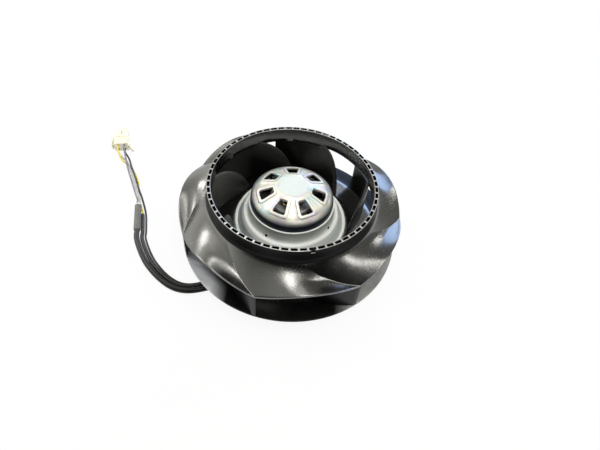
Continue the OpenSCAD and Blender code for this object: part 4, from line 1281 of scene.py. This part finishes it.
def seen_directly(tree):
    """A value of one for rays from the camera and for mirror or glass rays, nought for the rest."""
    path = add(tree, "LightPath")
    mirror = calc(tree, "MAXIMUM", (path, "Is Camera Ray"), (path, "Is Glossy Ray"))
    return calc(tree, "MAXIMUM", mirror, (path, "Is Transmission Ray"))


world = bpy.data.worlds.new("studio")
scene.world = world
tree = fresh_tree(world)
heading = add(tree, "SeparateXYZ", {0: (add(tree, "TexCoord"), "Generated")})
ceiling = ranged(tree, (heading, "Z"), 0.1, 0.5, 0.55, 0.40)
front = ranged(tree, (heading, "Y"), -0.70, -0.35, 0.02, 1.0)
side = ranged(tree, (heading, "X"), -0.6, 0.3, 2.5, 0.6)
level = calc(tree, "MULTIPLY", calc(tree, "MULTIPLY", ceiling, front), side)
by_camera = (add(tree, "LightPath"), "Is Camera Ray")
warm = mixed(tree, by_camera, (1.0, 0.99, 0.90), (1.0, 1.0, 1.0))
mirrored = add(tree, "Background", {"Color": warm, "Strength": calc(tree, "MAXIMUM", level, by_camera)})
room = add(tree, "Background", {"Color": WHITE, "Strength": 0.42})
either = add(tree, "MixShader", {0: seen_directly(tree), 1: room, 2: mirrored})
add(tree, "OutputWorld", {0: either})

ground = bpy.data.materials.new("pale_floor")
tree = fresh_tree(ground)
pale = add(tree, "BsdfDiffuse", {"Color": (0.9, 0.9, 0.9, 1.0)})
glow = add(tree, "Emission", {"Color": WHITE, "Strength": 1.0})
away = add(tree, "VectorMath", {0: (add(tree, "TexCoord"), "Object")}, operation="LENGTH")
white = add(tree, "MixShader", {0: ranged(tree, (away, "Value"), 0.3, 1.5, 0.92, 1.0), 1: pale, 2: glow})
either = add(tree, "MixShader", {0: seen_directly(tree), 1: pale, 2: white})
add(tree, "OutputMaterial", {0: either})
corners = [(x * FLOOR_HALF, y * FLOOR_HALF, FLOOR_Z) for x, y in ((-1, -1), (1, -1), (1, 1), (-1, 1))]
floor = raw("floor", corners, [(0, 1, 2, 3)])
floor.data.materials.append(ground)
floor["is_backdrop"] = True
print("floor", 2 * FLOOR_HALF, "mm wide")

# %% [markdown]
# The long lights on the shroud are mirror images of lamps, so each lamp stands in the direction in
# which the shroud mirrors it: one main lamp above with a broad weak one behind it, one over the crest
# at the back, a pair on the left, and thin strips on both sides. A wide bluish panel behind the wheel
# is the window. All are weak, so that a colour renders about as it is written.

# %% Lamps
def lamp(name, first, last, width, watts, tint=(1.0, 0.985, 0.92)):
    """A flat lamp whose long side runs between two points, in metres, and which faces the object."""
    data = bpy.data.lights.new(name, "AREA")
    data.color = tint
    data.shape = "RECTANGLE"
    run = Vector(last) - Vector(first)
    centre = (Vector(first) + Vector(last)) / 2
    data.size, data.size_y, data.energy = run.length, width, watts
    back = centre.normalized()
    along = (run - back * run.dot(back)).normalized()
    facing = Matrix((along, back.cross(along), back)).transposed().to_4x4()
    link(name, data).matrix_world = Matrix.Translation(centre) @ facing


lamp("left_lamp", (-0.78, 0.10, 0.62), (-0.56, 0.19, 0.80), 0.20, 1.1)
lamp("left_glow", (-0.85, -0.05, 0.55), (-0.35, 0.25, 0.92), 0.50, 0.6)
lamp("main_lamp", (0.09, 0.06, 0.99), (0.21, -0.45, 0.86), 0.18, 2.4)
lamp("main_glow", (0.00, 0.38, 0.94), (0.16, -0.28, 0.94), 0.36, 1.1)
lamp("crest_lamp", (-0.08, 0.22, 0.97), (-0.16, 0.60, 0.79), 0.10, 0.6)
lamp("right_lamp", (0.50, 0.07, 0.86), (0.73, -0.33, 0.59), 0.10, 1.3)
lamp("right_strip", (0.55, 0.64, 0.54), (0.78, 0.45, 0.44), 0.07, 0.9)
lamp("left_strip", (-0.83, 0.55, 0.10), (-0.66, 0.49, 0.57), 0.08, 1.3)
lamp("window", (0.05, 0.89, 0.40), (0.52, 0.78, 0.30), 0.52, 3.3, (0.45, 0.64, 1.0))

# %% [markdown]
# ## Size
# How far the dressed object reaches past the CAD model's box is printed. The dressed
# object has to stay inside the CAD model's box.

# %% Size
new_low, new_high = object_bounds()
grown = zip(list(cad_low) + list(new_high), list(new_low) + list(cad_high))
print("grown by", [round((a - b) * 1000, 2) for a, b in grown])
